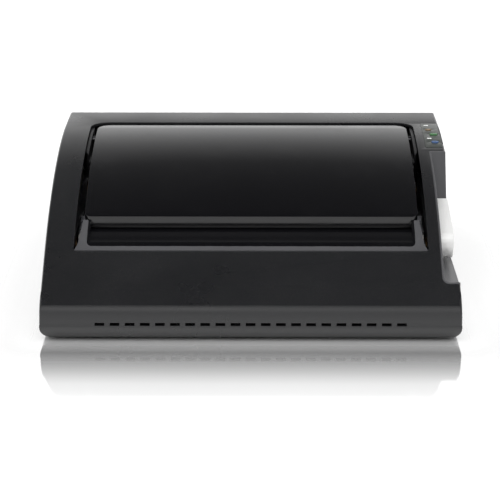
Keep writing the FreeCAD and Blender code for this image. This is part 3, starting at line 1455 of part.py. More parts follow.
def check_document():
    for item in doc.Objects:
        if "Invalid" in item.State or "Error" in item.State:
            raise RuntimeError("%s could not be made: %s" % (item.Label, item.State))
    for node in NODES:
        if node.Shape.isNull() or not node.Shape.isValid() or not node.Shape.Solids:
            raise RuntimeError("%s has no sound solid" % node.Label)


def export_nodes():
    os.makedirs("parts", exist_ok=True)
    for node in NODES:
        node.Shape.exportStep(os.path.join("parts", node.Label + ".step"))
        print("%-22s %2d solids %10.1f mm3" % (node.Label, len(node.Shape.Solids), node.Shape.Volume))


doc.recompute()
check_document()
export_nodes()
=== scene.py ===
import bmesh
import bpy
import math
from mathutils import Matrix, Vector


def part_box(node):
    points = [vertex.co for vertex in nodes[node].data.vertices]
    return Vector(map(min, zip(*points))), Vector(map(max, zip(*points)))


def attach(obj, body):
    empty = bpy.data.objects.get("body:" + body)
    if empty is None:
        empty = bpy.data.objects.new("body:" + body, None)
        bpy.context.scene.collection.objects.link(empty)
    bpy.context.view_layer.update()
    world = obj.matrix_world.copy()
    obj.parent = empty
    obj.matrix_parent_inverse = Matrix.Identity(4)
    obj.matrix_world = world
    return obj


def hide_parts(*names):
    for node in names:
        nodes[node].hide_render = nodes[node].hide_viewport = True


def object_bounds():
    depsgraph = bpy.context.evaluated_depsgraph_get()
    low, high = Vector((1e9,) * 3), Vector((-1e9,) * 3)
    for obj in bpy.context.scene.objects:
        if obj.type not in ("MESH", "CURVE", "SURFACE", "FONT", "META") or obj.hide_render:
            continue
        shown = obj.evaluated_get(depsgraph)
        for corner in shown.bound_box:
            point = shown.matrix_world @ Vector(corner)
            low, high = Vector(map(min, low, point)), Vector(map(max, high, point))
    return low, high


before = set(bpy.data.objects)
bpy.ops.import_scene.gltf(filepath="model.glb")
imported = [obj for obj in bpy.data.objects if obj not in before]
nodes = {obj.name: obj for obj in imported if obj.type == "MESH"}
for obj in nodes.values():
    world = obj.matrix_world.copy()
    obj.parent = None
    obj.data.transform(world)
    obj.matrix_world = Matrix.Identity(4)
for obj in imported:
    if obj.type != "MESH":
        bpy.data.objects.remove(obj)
cad_low, cad_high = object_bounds()

# ------------------------------------------------------------------ camera, floor and light
# A white sweep under and behind the machine, a dim ceiling over it, and one wide soft lamp in
# front.  The camera stands a little above the machine and looks down at its sloping front.

EYE_BEFORE_NOSE = 1.6952
EYE_ASIDE = 0.0083
EYE_HEIGHT = 0.6095
LOOK_DOWN = math.radians(17.0)
LOOK_LEFT = math.radians(0.3)
LENS_MM = 136.8
SENSOR_MM = 36.0
FLOOR_REACH = 30.0
MIRROR_FADE = 0.25
SUN_SPREAD = math.radians(70)

camera_data = bpy.data.cameras.new("studio_camera")
camera_data.lens = LENS_MM
camera_data.sensor_width = SENSOR_MM
camera = bpy.data.objects.new("studio_camera", camera_data)
camera.location = (EYE_ASIDE, cad_low[1] - EYE_BEFORE_NOSE, EYE_HEIGHT)
camera.rotation_euler = (math.pi / 2 - LOOK_DOWN, 0.0, LOOK_LEFT)
bpy.context.scene.collection.objects.link(camera)
bpy.context.scene.camera = camera
bpy.context.scene.view_settings.view_transform = "Standard"


def wire(tree, socket, value):
    """Feed an input from another node's output, or set it to a number or a colour."""
    if isinstance(value, bpy.types.NodeSocket):
        tree.links.new(value, socket)
    elif isinstance(value, tuple) and len(value) == 3 and socket.type == "RGBA":
        socket.default_value = (*value, 1.0)
    else:
        socket.default_value = value


def add_node(tree, kind, *links, **settings):
    """Add a node, set what it does, and feed its inputs."""
    node = tree.nodes.new(kind)
    for name, value in settings.items():
        setattr(node, name, value)
    for place, value in links:
        wire(tree, node.inputs[place], value)
    return node


def ramp(tree, value, *stops):
    """A smooth change of grey or colour through (position, tone) stops."""
    node = add_node(tree, "ShaderNodeValToRGB", ("Fac", value))
    elements = node.color_ramp.elements
    while len(elements) < len(stops):
        elements.new(0.5)
    for element, (place, tone) in zip(elements, stops):
        element.position = place
        element.color = (*tone, 1.0) if isinstance(tone, tuple) else (tone, tone, tone, 1.0)
    return node.outputs["Color"]


def lay_floor():
    """Pale acrylic that mirrors the machine at a low angle, near it, and is matt further out."""
    mesh = bpy.data.meshes.new("studio_floor")
    corners = [(x * FLOOR_REACH, y * FLOOR_REACH, 0) for x, y in ((-1, -1), (1, -1), (1, 1), (-1, 1))]
    mesh.from_pydata(corners, [], [(0, 1, 2, 3)])
    paint = bpy.data.materials.new("pale_floor")
    paint.use_nodes = True
    tree = paint.node_tree
    shader = tree.nodes["Principled BSDF"].inputs
    place = add_node(tree, "ShaderNodeTexCoord").outputs["Object"]
    away = add_node(tree, "ShaderNodeVectorMath", (0, place), operation="ABSOLUTE").outputs["Vector"]
    outside = add_node(tree, "ShaderNodeVectorMath", (0, away), (1, tuple(cad_high)),
                       operation="SUBTRACT").outputs["Vector"]
    beyond = add_node(tree, "ShaderNodeVectorMath", (0, outside), (1, (0.0, 0.0, 0.0)),
                      operation="MAXIMUM").outputs["Vector"]
    distance = add_node(tree, "ShaderNodeVectorMath", (0, beyond), operation="LENGTH").outputs["Value"]
    share = add_node(tree, "ShaderNodeMath", (0, distance), (1, MIRROR_FADE), operation="DIVIDE").outputs[0]
    polish = ramp(tree, share, (0.0, 0.62), (0.06, 0.74), (0.12, 0.84),
                  (0.24, 0.68), (0.44, 0.27), (0.72, 0.09), (1.0, 0.0))
    grazing = add_node(tree, "ShaderNodeLayerWeight", ("Blend", 0.5)).outputs["Facing"]
    low_view = add_node(tree, "ShaderNodeMapRange", ("Value", grazing), ("From Min", 0.40),
                        ("From Max", 0.66)).outputs[0]
    seen = add_node(tree, "ShaderNodeMath", (0, polish), (1, low_view), operation="MULTIPLY").outputs[0]
    wire(tree, shader["Metallic"], seen)
    cloud = add_node(tree, "ShaderNodeTexNoise", ("Vector", place), ("Scale", 3.0)).outputs["Fac"]
    wire(tree, shader["Base Color"], ramp(tree, cloud, (0.3, 0.93), (0.7, 0.96)))
    shader["Roughness"].default_value = 0.06
    mesh.materials.append(paint)
    floor = bpy.data.objects.new("studio_floor", mesh)
    bpy.context.scene.collection.objects.link(floor)


def light_room():
    """White at the horizon all round, fading to a dim ceiling."""
    world = bpy.data.worlds.new("studio_world")
    world.use_nodes = True
    tree = world.node_tree
    direction = add_node(tree, "ShaderNodeTexCoord").outputs["Generated"]
    height = add_node(tree, "ShaderNodeSeparateXYZ", ("Vector", direction)).outputs["Z"]
    tone = ramp(tree, height, (0.0, 1.0), (0.33, 1.0), (0.50, 0.52), (0.69, 0.12), (1.0, 0.012))
    wire(tree, tree.nodes["Background"].inputs["Color"], tone)
    bpy.context.scene.world = world


def hang_lamp(name, kind, place, aim, power):
    """A lamp hung in a place and aimed at another."""
    data = bpy.data.lights.new(name, kind)
    data.energy = power
    lamp = bpy.data.objects.new(name, data)
    lamp.location = place
    lamp.rotation_euler = (Vector(aim) - Vector(place)).to_track_quat("-Z", "Y").to_euler()
    bpy.context.scene.collection.objects.link(lamp)
    return lamp


lay_floor()
light_room()
overhead = hang_lamp("overhead_light", "SUN", place=(0.0, -0.5, 3.0), aim=(0.0, 0.0, 0.0), power=3.3)
overhead.data.angle = SUN_SPREAD
overhead.visible_glossy = False
front_lamp = hang_lamp("front_softbox", "AREA", place=(0.0, -2.3, 2.1), aim=(0.0, 0.0, 0.05), power=11.0)
front_lamp.data.shape = "RECTANGLE"
front_lamp.data.size = 3.2
front_lamp.data.size_y = 0.8


# ------------------------------------------------------------------ base moulding
# The shallow bottom moulding, injection moulded in black ABS against a spark-eroded mould that
# leaves an even leathery grain.  Four screws come up through it into the upper housing.

def shader_group(name, inputs, outputs):
    """An empty shader group with named numbers going in and named values coming out."""
    tree = bpy.data.node_groups.new(name, "ShaderNodeTree")
    for label, value in inputs:
        socket = tree.interface.new_socket(label, in_out="INPUT", socket_type="NodeSocketFloat")
        socket.default_value = value
    for label in outputs:
        tree.interface.new_socket(label, in_out="OUTPUT", socket_type="NodeSocketFloat")
    return tree, tree.nodes.new("NodeGroupInput").outputs, tree.nodes.new("NodeGroupOutput").inputs


def sums(tree, operation, first, second, third=None, clamp=False):
    """One step of arithmetic between node values."""
    links = [(0, first), (1, second)] + ([(2, third)] if third is not None else [])
    return add_node(tree, "ShaderNodeMath", *links, operation=operation, use_clamp=clamp).outputs[0]


def spread(tree, value, low, high, to_low=0.0, to_high=1.0):
    """Stretch a value from one range to another, and clamp it."""
    return add_node(tree, "ShaderNodeMapRange", ("Value", value), ("From Min", low), ("From Max", high),
                    ("To Min", to_low), ("To Max", to_high)).outputs[0]


def noise(tree, place, scale, detail=3.0, roughness=0.5):
    """Cloudy noise at a place."""
    return add_node(tree, "ShaderNodeTexNoise", ("Vector", place), ("Scale", scale),
                    ("Detail", detail), ("Roughness", roughness)).outputs["Fac"]


def object_place(tree):
    """The place of a point on the machine, in metres."""
    return add_node(tree, "ShaderNodeTexCoord").outputs["Object"]


def make_grain():
    """The leathery grain of a textured mould, and the broad patches where it wore."""
    tree, given, result = shader_group("mould_grain", [("Scale", 2800.0)], ["Height", "Patches"])
    place = object_place(tree)
    cells = add_node(tree, "ShaderNodeTexVoronoi", ("Vector", place), ("Scale", given["Scale"]),
                     feature="SMOOTH_F1").outputs["Distance"]
    fine = noise(tree, place, given["Scale"])
    patches = noise(tree, place, 13.0, detail=4.0)
    wire(tree, result["Height"], sums(tree, "ADD", cells, fine))
    wire(tree, result["Patches"], patches)
    return tree


def make_wear():
    """Where edges are rubbed, where dust has settled, and where sliding things left scuffs."""
    tree, given, result = shader_group(
        "handling_wear", [("Edge width", 0.0009), ("Dust", 0.3), ("Scuff scale", 55.0)],
        ["Edge", "Dust", "Scuffs"])
    place = object_place(tree)
    shape = add_node(tree, "ShaderNodeNewGeometry")
    rounded = add_node(tree, "ShaderNodeBevel", ("Radius", given["Edge width"]), samples=4)
    turn = add_node(tree, "ShaderNodeVectorMath", (0, rounded.outputs[0]), (1, shape.outputs["Normal"]),
                    operation="DOT_PRODUCT").outputs["Value"]
    edge = spread(tree, turn, low=0.995, high=0.86)
    broken = spread(tree, noise(tree, place, 210.0, detail=5.0), low=0.40, high=0.62)
    wire(tree, result["Edge"], sums(tree, "MULTIPLY", edge, broken))
    facing = add_node(tree, "ShaderNodeSeparateXYZ", ("Vector", shape.outputs["Normal"])).outputs["Z"]
    upward = spread(tree, facing, low=0.2, high=1.0)
    specks = spread(tree, noise(tree, place, 1500.0, detail=2.0), low=0.55, high=0.80)
    drift = noise(tree, place, 24.0, detail=4.0)
    settled = sums(tree, "MULTIPLY", upward, sums(tree, "MULTIPLY", specks, drift))
    wire(tree, result["Dust"], sums(tree, "MULTIPLY", settled, given["Dust"], clamp=True))
    stretched = add_node(tree, "ShaderNodeMapping", ("Vector", place), ("Scale", (1.0, 0.15, 0.6)))
    lines = noise(tree, stretched.outputs[0], given["Scuff scale"], detail=9.0, roughness=0.7)
    wire(tree, result["Scuffs"], spread(tree, lines, low=0.58, high=0.74))
    return tree


mould_grain = make_grain()
handling_wear = make_wear()


def use_group(tree, group, **values):
    """Place a shader group in a material, with that material's own numbers."""
    node = add_node(tree, "ShaderNodeGroup")
    node.node_tree = group
    for name, value in values.items():
        wire(tree, node.inputs[name.replace("_", " ")], value)
    return node.outputs


def blend_colour(tree, amount, first, second):
    """The first colour where the amount is nothing, the second where it is whole."""
    node = add_node(tree, "ShaderNodeMix", (0, amount), (6, first), (7, second), data_type="RGBA")
    return node.outputs[2]


def times(colour, factor):
    """A colour made lighter or darker."""
    return tuple(min(1.0, part * factor) for part in colour)


def new_finish(name):
    """A new material, with its node tree and its shader's inputs."""
    material = bpy.data.materials.new(name)
    material.use_nodes = True
    tree = material.node_tree
    return material, tree, tree.nodes["Principled BSDF"].inputs


def roughen(tree, shader, height, depth, strength=1.0):
    """Give a surface small relief, its depth in metres."""
    bump = add_node(tree, "ShaderNodeBump", ("Strength", strength), ("Distance", depth), ("Height", height))
    wire(tree, shader["Normal"], bump.outputs[0])


DUST_COLOUR = (0.30, 0.29, 0.27)
TONE_SWING = 0.14
POLISHED_BY = -0.025


def grained_plastic(name, colour, roughness, depth, scale=2800.0, dust=0.3, edge_gain=2.4,
                    specular=0.5):
    """ABS from a textured mould: grain, uneven tone, rubbed edges, settled dust, polished scuffs."""
    material, tree, shader = new_finish(name)
    grain = use_group(tree, mould_grain, Scale=scale)
    wear = use_group(tree, handling_wear, Dust=dust)
    tone = blend_colour(tree, grain["Patches"], times(colour, 1 - TONE_SWING),
                        times(colour, 1 + TONE_SWING))
    rubbed = blend_colour(tree, wear["Edge"], tone, times(colour, edge_gain))
    wire(tree, shader["Base Color"], blend_colour(tree, wear["Dust"], rubbed, DUST_COLOUR))
    uneven = spread(tree, grain["Patches"], low=0.3, high=0.7, to_low=roughness - 0.04,
                    to_high=roughness + 0.04)
    wire(tree, shader["Roughness"], sums(tree, "MULTIPLY_ADD", wear["Scuffs"], POLISHED_BY, uneven))
    shader["Specular IOR Level"].default_value = specular
    roughen(tree, shader, grain["Height"], depth)
    return material


WELD_WITHIN = 2e-6
FLAT_WITHIN = math.radians(0.5)
SHARP_FROM = math.radians(30.0)
SMOOTH_UP_TO = math.radians(35.0)


def merged_copy(node_name):
    """A copy of a CAD part with its loose triangles joined and its flat faces made whole."""
    shape = bmesh.new()
    shape.from_mesh(nodes[node_name].data)
    bmesh.ops.remove_doubles(shape, verts=shape.verts, dist=WELD_WITHIN)
    bmesh.ops.dissolve_limit(shape, angle_limit=FLAT_WITHIN, verts=shape.verts, edges=shape.edges)
    return shape


def is_sharp(edge):
    """Whether two faces meet at an edge and turn enough there."""
    return len(edge.link_faces) == 2 and edge.calc_face_angle(0.0) > SHARP_FROM


def finish_edges(shape, name, radius, share=None, segments=2):
    """Round a moulding's sharp edges, each by its share of the radius, and shade its curves."""
    weight = shape.edges.layers.float.new("bevel_weight_edge")
    for edge in shape.edges:
        if is_sharp(edge):
            middle = (edge.verts[0].co + edge.verts[1].co) / 2
            edge[weight] = share(middle) if share else 1.0
    mesh = bpy.data.meshes.new(name)
    shape.to_mesh(mesh)
    shape.free()
    carrier = bpy.data.objects.new(name + "_carrier", mesh)
    bpy.context.scene.collection.objects.link(carrier)
    bevel = carrier.modifiers.new("edge_radius", "BEVEL")
    bevel.width = radius
    bevel.segments = segments
    bevel.limit_method = "WEIGHT"
    bpy.context.view_layer.update()
    graph = bpy.context.evaluated_depsgraph_get()
    finished = bpy.data.meshes.new_from_object(carrier.evaluated_get(graph))
    bpy.data.objects.remove(carrier)
    bpy.data.meshes.remove(mesh)
    finished.name = name
    finished.shade_smooth()
    finished.set_sharp_from_angle(angle=SMOOTH_UP_TO)
    return finished


def place_piece(name, mesh, material, body, slot, *stands_for):
    """Put a finished mesh on its body, in place of the CAD parts that it stands for."""
    mesh.materials.clear()
    mesh.materials.append(material)
    piece = bpy.data.objects.new(name, mesh)
    bpy.context.scene.collection.objects.link(piece)
    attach(piece, body)
    if stands_for:
        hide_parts(*stands_for)
    return piece


def moulding(name, node_name, material, body, slot, radius, share=None, segments=2):
    """A moulded part: the CAD shape with the small radii that its mould gives every edge."""
    mesh = finish_edges(merged_copy(node_name), name, radius, share, segments)
    return place_piece(name, mesh, material, body, slot, node_name)


HOUSING_EDGE = 0.0005
housing_black = grained_plastic("housing_black", (0.0085, 0.0088, 0.0100), roughness=0.30,
                                depth=0.00002, specular=0.70)
moulding("base_moulding", "base_pan", housing_black, "root", "housing_black", HOUSING_EDGE)


# ------------------------------------------------------------------ upper housing
# The big top moulding of the same grained black ABS.  The rim of the lid's opening has a broad
# soft radius at the sides and rear, and a fine one along the front, where the rail meets it.

rail_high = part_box("inner_frame")[1]
RAIL_CLEARANCE = 0.0004
DECK_CLEARANCE = 0.001
RIM_RADIUS = 0.0022
RIM_WITHIN = 0.0008
REAR_CORNER_WITHIN = 0.0215
RIM_ABOVE = 0.075
PLAIN_EDGE_SHARE = 0.2
mouth_side = rail_high[0] + RAIL_CLEARANCE
mouth_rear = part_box("rear_deck")[1][1] + DECK_CLEARANCE


def rim_share(middle):
    """How much of the rim's radius an edge of the housing gets."""
    on_side = abs(abs(middle.x) - mouth_side) < RIM_WITHIN and middle.y > rail_high[1]
    round_rear = abs(middle.x) < mouth_side and abs(middle.y - mouth_rear) < REAR_CORNER_WITHIN
    return 1.0 if (on_side or round_rear) and middle.z > RIM_ABOVE else PLAIN_EDGE_SHARE


moulding("housing_moulding", "upper_housing", housing_black, "root", "housing_black", RIM_RADIUS,
         rim_share, segments=3)


# ------------------------------------------------------------------ rail and notch lining
# The rail round the front of the opening and the moulding that lines the lever's notch are a much
# lighter grey than the housing, with a finer grain.  Both clip in from inside.

trim_grey = grained_plastic("trim_grey", (0.060, 0.060, 0.064), roughness=0.36, depth=0.00001,
                            scale=3600.0, dust=0.2, edge_gain=1.8)
moulding("opening_rail", "inner_frame", trim_grey, "root", "frame_grey", HOUSING_EDGE)
moulding("notch_lining", "lever_recess_liner", trim_grey, "root", "frame_grey", HOUSING_EDGE)


# ------------------------------------------------------------------ lid and finger tray
# The lid and the scoop in front of it are gloss black ABS from a polished mould, so they mirror
# the room, with the slight orange peel, hairlines and finger marks that such a surface shows.

def gloss_plastic(name, colour, roughness, smudges, dust):
    """Polished ABS: finger marks and hairlines in its gloss, rubbed edges, a little dust."""
    material, tree, shader = new_finish(name)
    place = object_place(tree)
    wear = use_group(tree, handling_wear, Dust=dust, Scuff_scale=260.0, Edge_width=0.0005)
    finger_marks = noise(tree, place, 24.0, detail=6.0, roughness=0.65)
    touched = spread(tree, finger_marks, low=0.5, high=0.75, to_low=roughness, to_high=roughness + smudges)
    wire(tree, shader["Roughness"], sums(tree, "MULTIPLY_ADD", wear["Scuffs"], 0.04, touched))
    rubbed = blend_colour(tree, wear["Edge"], colour, times(colour, 3.0))
    wire(tree, shader["Base Color"], blend_colour(tree, wear["Dust"], rubbed, DUST_COLOUR))
    shader["Coat Weight"].default_value = 0.2
    shader["Coat Roughness"].default_value = 0.04
    roughen(tree, shader, noise(tree, place, 380.0, detail=2.0), depth=0.00002, strength=0.3)
    return material


gloss_black = gloss_plastic("gloss_black", (0.0035, 0.0035, 0.0043), roughness=0.16, smudges=0.10,
                            dust=0.04)
LID_EDGE = 0.0010
TRAY_EDGE = 0.0006
LIP_DEPTH = 0.002
LID_SIDE_SHARE = 0.6
lid_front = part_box("lid_panel")[0][1]


def lid_share(middle):
    """The front lip has a fuller radius than the rest of the lid."""
    return 1.0 if middle.y < lid_front + LIP_DEPTH else LID_SIDE_SHARE


moulding("lid_cover", "lid_panel", gloss_black, "lid", "gloss_black", LID_EDGE, lid_share, segments=3)
moulding("finger_scoop", "finger_tray", gloss_black, "root", "gloss_black", TRAY_EDGE)


# ------------------------------------------------------------------ lever
# The comb lever is ABS sprayed with silver lacquer, whose fine metal flakes sparkle a little
# and which has worn dull where the hand pulls it.  One screw holds it on its shaft.

def metallic_lacquer(name, colour):
    """Silver paint: fine flakes, a cloudy spray, edges worn darker."""
    material, tree, shader = new_finish(name)
    place = object_place(tree)
    wear = use_group(tree, handling_wear, Dust=0.05, Scuff_scale=140.0)
    flake = add_node(tree, "ShaderNodeTexVoronoi", ("Vector", place), ("Scale", 6500.0)).outputs["Color"]
    sparkle = add_node(tree, "ShaderNodeSeparateColor", ("Color", flake)).outputs[0]
    tone = blend_colour(tree, sparkle, times(colour, 0.93), times(colour, 1.06))
    spray = spread(tree, noise(tree, place, 30.0), low=0.35, high=0.65)
    cloudy = blend_colour(tree, spray, tone, times(colour, 0.95))
    wire(tree, shader["Base Color"], blend_colour(tree, wear["Edge"], cloudy, times(colour, 0.72)))
    wire(tree, shader["Roughness"], sums(tree, "MULTIPLY_ADD", wear["Scuffs"], 0.10, 0.33))
    wire(tree, shader["Metallic"], spread(tree, sparkle, low=0.0, high=1.0, to_low=0.18, to_high=0.38))
    shader["Coat Weight"].default_value = 0.3
    shader["Coat Roughness"].default_value = 0.12
    roughen(tree, shader, noise(tree, place, 2400.0), depth=0.000008)
    return material


lever_silver = metallic_lacquer("silver_lacquer", (0.87, 0.87, 0.86))
FINE_EDGE = 0.0004
moulding("comb_lever", "binding_lever", lever_silver, "lever", "lever_silver", FINE_EDGE)


# ------------------------------------------------------------------ feet and base screws
# Four moulded rubber pads pressed into rings under the base, dull and dusty, and the blackened
# steel screws that come up through the base and draw the two housings together.

def ground_steel(name, colour, roughness, along=(1.0, 40.0, 40.0), dust=0.1):
    """Turned or ground steel, with fine marks along one way and darker stains of oil."""
    material, tree, shader = new_finish(name)
    place = object_place(tree)
    wear = use_group(tree, handling_wear, Dust=dust, Edge_width=0.0003)
    brushed = add_node(tree, "ShaderNodeMapping", ("Vector", place), ("Scale", along)).outputs[0]
    marks = noise(tree, brushed, 90.0, detail=6.0, roughness=0.6)
    stain = spread(tree, noise(tree, place, 45.0, detail=5.0), low=0.45, high=0.75)
    tone = blend_colour(tree, marks, times(colour, 0.80), times(colour, 1.12))
    oiled = blend_colour(tree, stain, tone, times(colour, 0.62))
    rubbed = blend_colour(tree, wear["Edge"], oiled, times(colour, 1.5))
    wire(tree, shader["Base Color"], blend_colour(tree, wear["Dust"], rubbed, DUST_COLOUR))
    wire(tree, shader["Roughness"], spread(tree, marks, low=0.3, high=0.7, to_low=roughness - 0.06,
                                           to_high=roughness + 0.10))
    shader["Metallic"].default_value = 1.0
    roughen(tree, shader, marks, depth=0.00001)
    return material


def dress(material, *node_names):
    """Give CAD parts whose shape is right their real finish."""
    for name in node_names:
        data = nodes[name].data
        data.materials.clear()
        data.materials.append(material)


foot_rubber = grained_plastic("foot_rubber", (0.016, 0.016, 0.017), roughness=0.74, depth=0.00003,
                              scale=1500.0, dust=0.7, edge_gain=1.5, specular=0.3)
moulding("foot_pads", "rubber_feet", foot_rubber, "root", "rubber", HOUSING_EDGE)
blackened_steel = ground_steel("blackened_steel", (0.035, 0.035, 0.038), roughness=0.40,
                               along=(20.0, 20.0, 20.0))
dress(blackened_steel, "housing_screws", "lever_screw")


# ------------------------------------------------------------------ comb opener
# Two zinc-plated racks lift a row of pressed hooks that pull a plastic comb open over a fixed
# steel rake.  The lever's ground shaft turns white acetal pinions, and a black ABS deck covers it.

bright_steel = ground_steel("bright_steel", (0.40, 0.40, 0.42), roughness=0.26)
zinc_steel = ground_steel("zinc_steel", (0.40, 0.41, 0.43), roughness=0.40, along=(8.0, 8.0, 8.0), dust=0.2)
acetal = grained_plastic("white_acetal", (0.62, 0.61, 0.56), roughness=0.38, depth=0.000004,
                         scale=1500.0, dust=0.15, edge_gain=0.8)
deck_black = grained_plastic("deck_black", (0.010, 0.010, 0.011), roughness=0.46, depth=0.000012,
                             scale=3800.0, dust=0.35)
dress(bright_steel, "lever_shaft", "hook_plate", "comb_rake")
dress(zinc_steel, "comb_racks")
dress(acetal, "comb_pinions")
moulding("comb_rest_deck", "comb_deck", deck_black, "root", "inner_black", FINE_EDGE)


# ------------------------------------------------------------------ punch unit
# Hardened and ground plates hold twenty-one hardened pins.  A plated ram pushes them, its shaft's
# gears turned by a small motor through a bronze pinion and acetal wheels.  A black ABS cover keeps
# fingers off.

hardened_steel = ground_steel("hardened_steel", (0.30, 0.30, 0.31), roughness=0.22,
                              along=(1.0, 60.0, 60.0), dust=0.25)
motor_can = ground_steel("motor_can", (0.36, 0.36, 0.37), roughness=0.34, along=(1.0, 25.0, 25.0))
bronze = ground_steel("sintered_bronze", (0.17, 0.105, 0.05), roughness=0.38, along=(12.0, 12.0, 12.0))
dress(hardened_steel, "die_plate", "guide_plate", "punch_pins", "ram_gears")
dress(bright_steel, "throat_spacers", "punch_shaft", "idler_axle")
dress(zinc_steel, "punch_ram")
dress(motor_can, "drive_motor")
dress(acetal, "drive_gear", "idler_gear")
dress(bronze, "motor_pinion")
moulding("punch_hood", "punch_cover", deck_black, "root", "inner_black", FINE_EDGE)


# ------------------------------------------------------------------ side frames
# Two pressed steel side plates, zinc plated after pressing, carry every shaft in bronze bushes.
# Ground rods tie them together and plated screws hold them to the base.

dress(zinc_steel, "left_frame", "right_frame", "frame_screws")
dress(bright_steel, "tie_rods")
dress(bronze, "shaft_bushes")


# ------------------------------------------------------------------ rear deck and lid hinge
# The black ABS deck under the lid, on which the sheets rest, with lugs for the two ground hinge
# pins.  The pins are a darker, duller steel than the shafts.

dull_steel = ground_steel("dull_steel", (0.20, 0.20, 0.21), roughness=0.32)
dress(dull_steel, "hinge_pins")
moulding("sheet_deck", "rear_deck", deck_black, "root", "inner_black", FINE_EDGE)


# ------------------------------------------------------------------ margin dial and edge guide
# A grey ABS dial, gripped by its ribbed rim, turns an acetal pinion that slides the plated
# margin stop.  The edge guide beside it is the same grey and slides along the deck.

RIB_COUNT = 40
RIB_RADIUS = 0.00035
RIB_SHARE = 0.7
RIM_FROM = 0.9
SMALL_EDGE = 0.0003

dial_low, dial_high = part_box("margin_dial")
dial_centre = (dial_low + dial_high) / 2
dial_size = dial_high - dial_low
dial_axis = min(range(3), key=lambda way: dial_size[way])
rim_radius = max(dial_size) / 2
dial_shape = merged_copy("margin_dial")
for corner in dial_shape.verts:
    spoke = corner.co - dial_centre
    spoke[dial_axis] = 0.0
    if spoke.length > rim_radius * RIM_FROM:
        corner.co -= spoke.normalized() * RIB_RADIUS
dial_grey = grained_plastic("dial_grey", (0.075, 0.075, 0.080), roughness=0.38, depth=0.00001,
                            scale=3600.0, dust=0.25, edge_gain=1.8)
place_piece("margin_dial_disc", finish_edges(dial_shape, "margin_dial_disc", SMALL_EDGE), dial_grey,
            "margin_knob", "frame_grey", "margin_dial")
moulding("edge_slide", "edge_guide", dial_grey, "edge_slider", "frame_grey", FINE_EDGE)
dress(zinc_steel, "margin_stop")
dress(acetal, "margin_pinion")


def rib_ring(material):
    """Nodes that set ribs round a rim, upright along the dial's axis, in the finish given."""
    tree = bpy.data.node_groups.new("rib_ring", "GeometryNodeTree")
    for label, kind, value in (("Ribs", "NodeSocketInt", 8), ("Rim radius", "NodeSocketFloat", 0.01),
                               ("Rib radius", "NodeSocketFloat", 0.001),
                               ("Rib length", "NodeSocketFloat", 0.01)):
        tree.interface.new_socket(label, in_out="INPUT", socket_type=kind).default_value = value
    tree.interface.new_socket("Geometry", in_out="OUTPUT", socket_type="NodeSocketGeometry")
    given = tree.nodes.new("NodeGroupInput").outputs
    ring = add_node(tree, "GeometryNodeMeshCircle", ("Vertices", given["Ribs"]),
                    ("Radius", given["Rim radius"])).outputs["Mesh"]
    rib = add_node(tree, "GeometryNodeMeshCylinder", ("Vertices", 8), ("Radius", given["Rib radius"]),
                   ("Depth", given["Rib length"])).outputs["Mesh"]
    ribs = add_node(tree, "GeometryNodeInstanceOnPoints", ("Points", ring), ("Instance", rib)).outputs[0]
    whole = add_node(tree, "GeometryNodeRealizeInstances", ("Geometry", ribs)).outputs[0]
    coloured = add_node(tree, "GeometryNodeSetMaterial", ("Geometry", whole),
                        ("Material", material)).outputs[0]
    wire(tree, tree.nodes.new("NodeGroupOutput").inputs["Geometry"], coloured)
    return tree


def grow(name, tree, **values):
    """Run a node tree once with these inputs and keep the mesh that it makes."""
    seed = bpy.data.meshes.new(name + "_seed")
    carrier = bpy.data.objects.new(name + "_carrier", seed)
    bpy.context.scene.collection.objects.link(carrier)
    maker = carrier.modifiers.new(name, "NODES")
    maker.node_group = tree
    for item in tree.interface.items_tree:
        label = item.name.replace(" ", "_")
        if item.in_out == "INPUT" and label in values:
            maker[item.identifier] = values[label]
    bpy.context.view_layer.update()
    graph = bpy.context.evaluated_depsgraph_get()
    made = bpy.data.meshes.new_from_object(carrier.evaluated_get(graph))
    carrier.modifiers.remove(maker)
    bpy.data.objects.remove(carrier)
    bpy.data.meshes.remove(seed)
    return made


ribs = grow("dial_ribs", rib_ring(dial_grey), Ribs=RIB_COUNT, Rim_radius=rim_radius - RIB_RADIUS,
            Rib_radius=RIB_RADIUS, Rib_length=dial_size[dial_axis] * RIB_SHARE)
for corner in ribs.vertices:
    x, y, z = corner.co
    turned = {0: (z, x, y), 1: (y, z, x), 2: (x, y, z)}[dial_axis]
    corner.co = Vector(turned) + dial_centre
place_piece("dial_ribs", ribs, dial_grey, "margin_knob", "frame_grey")


# ------------------------------------------------------------------ chip drawer
# The drawer for punched paper chips pulls out of the left side.  It is moulded in the housings'
# grained black, runs in plain black rails and closes a small switch.

moulding("drawer_tub", "chip_drawer", housing_black, "drawer", "housing_black", FINE_EDGE)
dress(deck_black, "drawer_rails", "drawer_switch")


# ------------------------------------------------------------------ control strip
# A strip of printed film over an ABS bezel at the rear right corner, with three soft coloured keys
# and clear lenses over the lamps.  The keys press small switches on a green circuit board.

def printed_film(name, colour):
    """Matt polyester film printed from behind, faintly mottled and scratched."""
    material, tree, shader = new_finish(name)
    place = object_place(tree)
    wear = use_group(tree, handling_wear, Dust=0.3, Scuff_scale=180.0)
    mottle = spread(tree, noise(tree, place, 260.0, detail=5.0, roughness=0.7), low=0.35, high=0.65)
    tone = blend_colour(tree, mottle, times(colour, 0.65), times(colour, 1.45))
    rubbed = blend_colour(tree, wear["Edge"], tone, times(colour, 0.3))
    wire(tree, shader["Base Color"], blend_colour(tree, wear["Dust"], rubbed, DUST_COLOUR))
    wire(tree, shader["Roughness"], sums(tree, "MULTIPLY_ADD", wear["Scuffs"], 0.12, 0.30))
    roughen(tree, shader, noise(tree, place, 1900.0, detail=2.0), depth=0.000008)
    return material


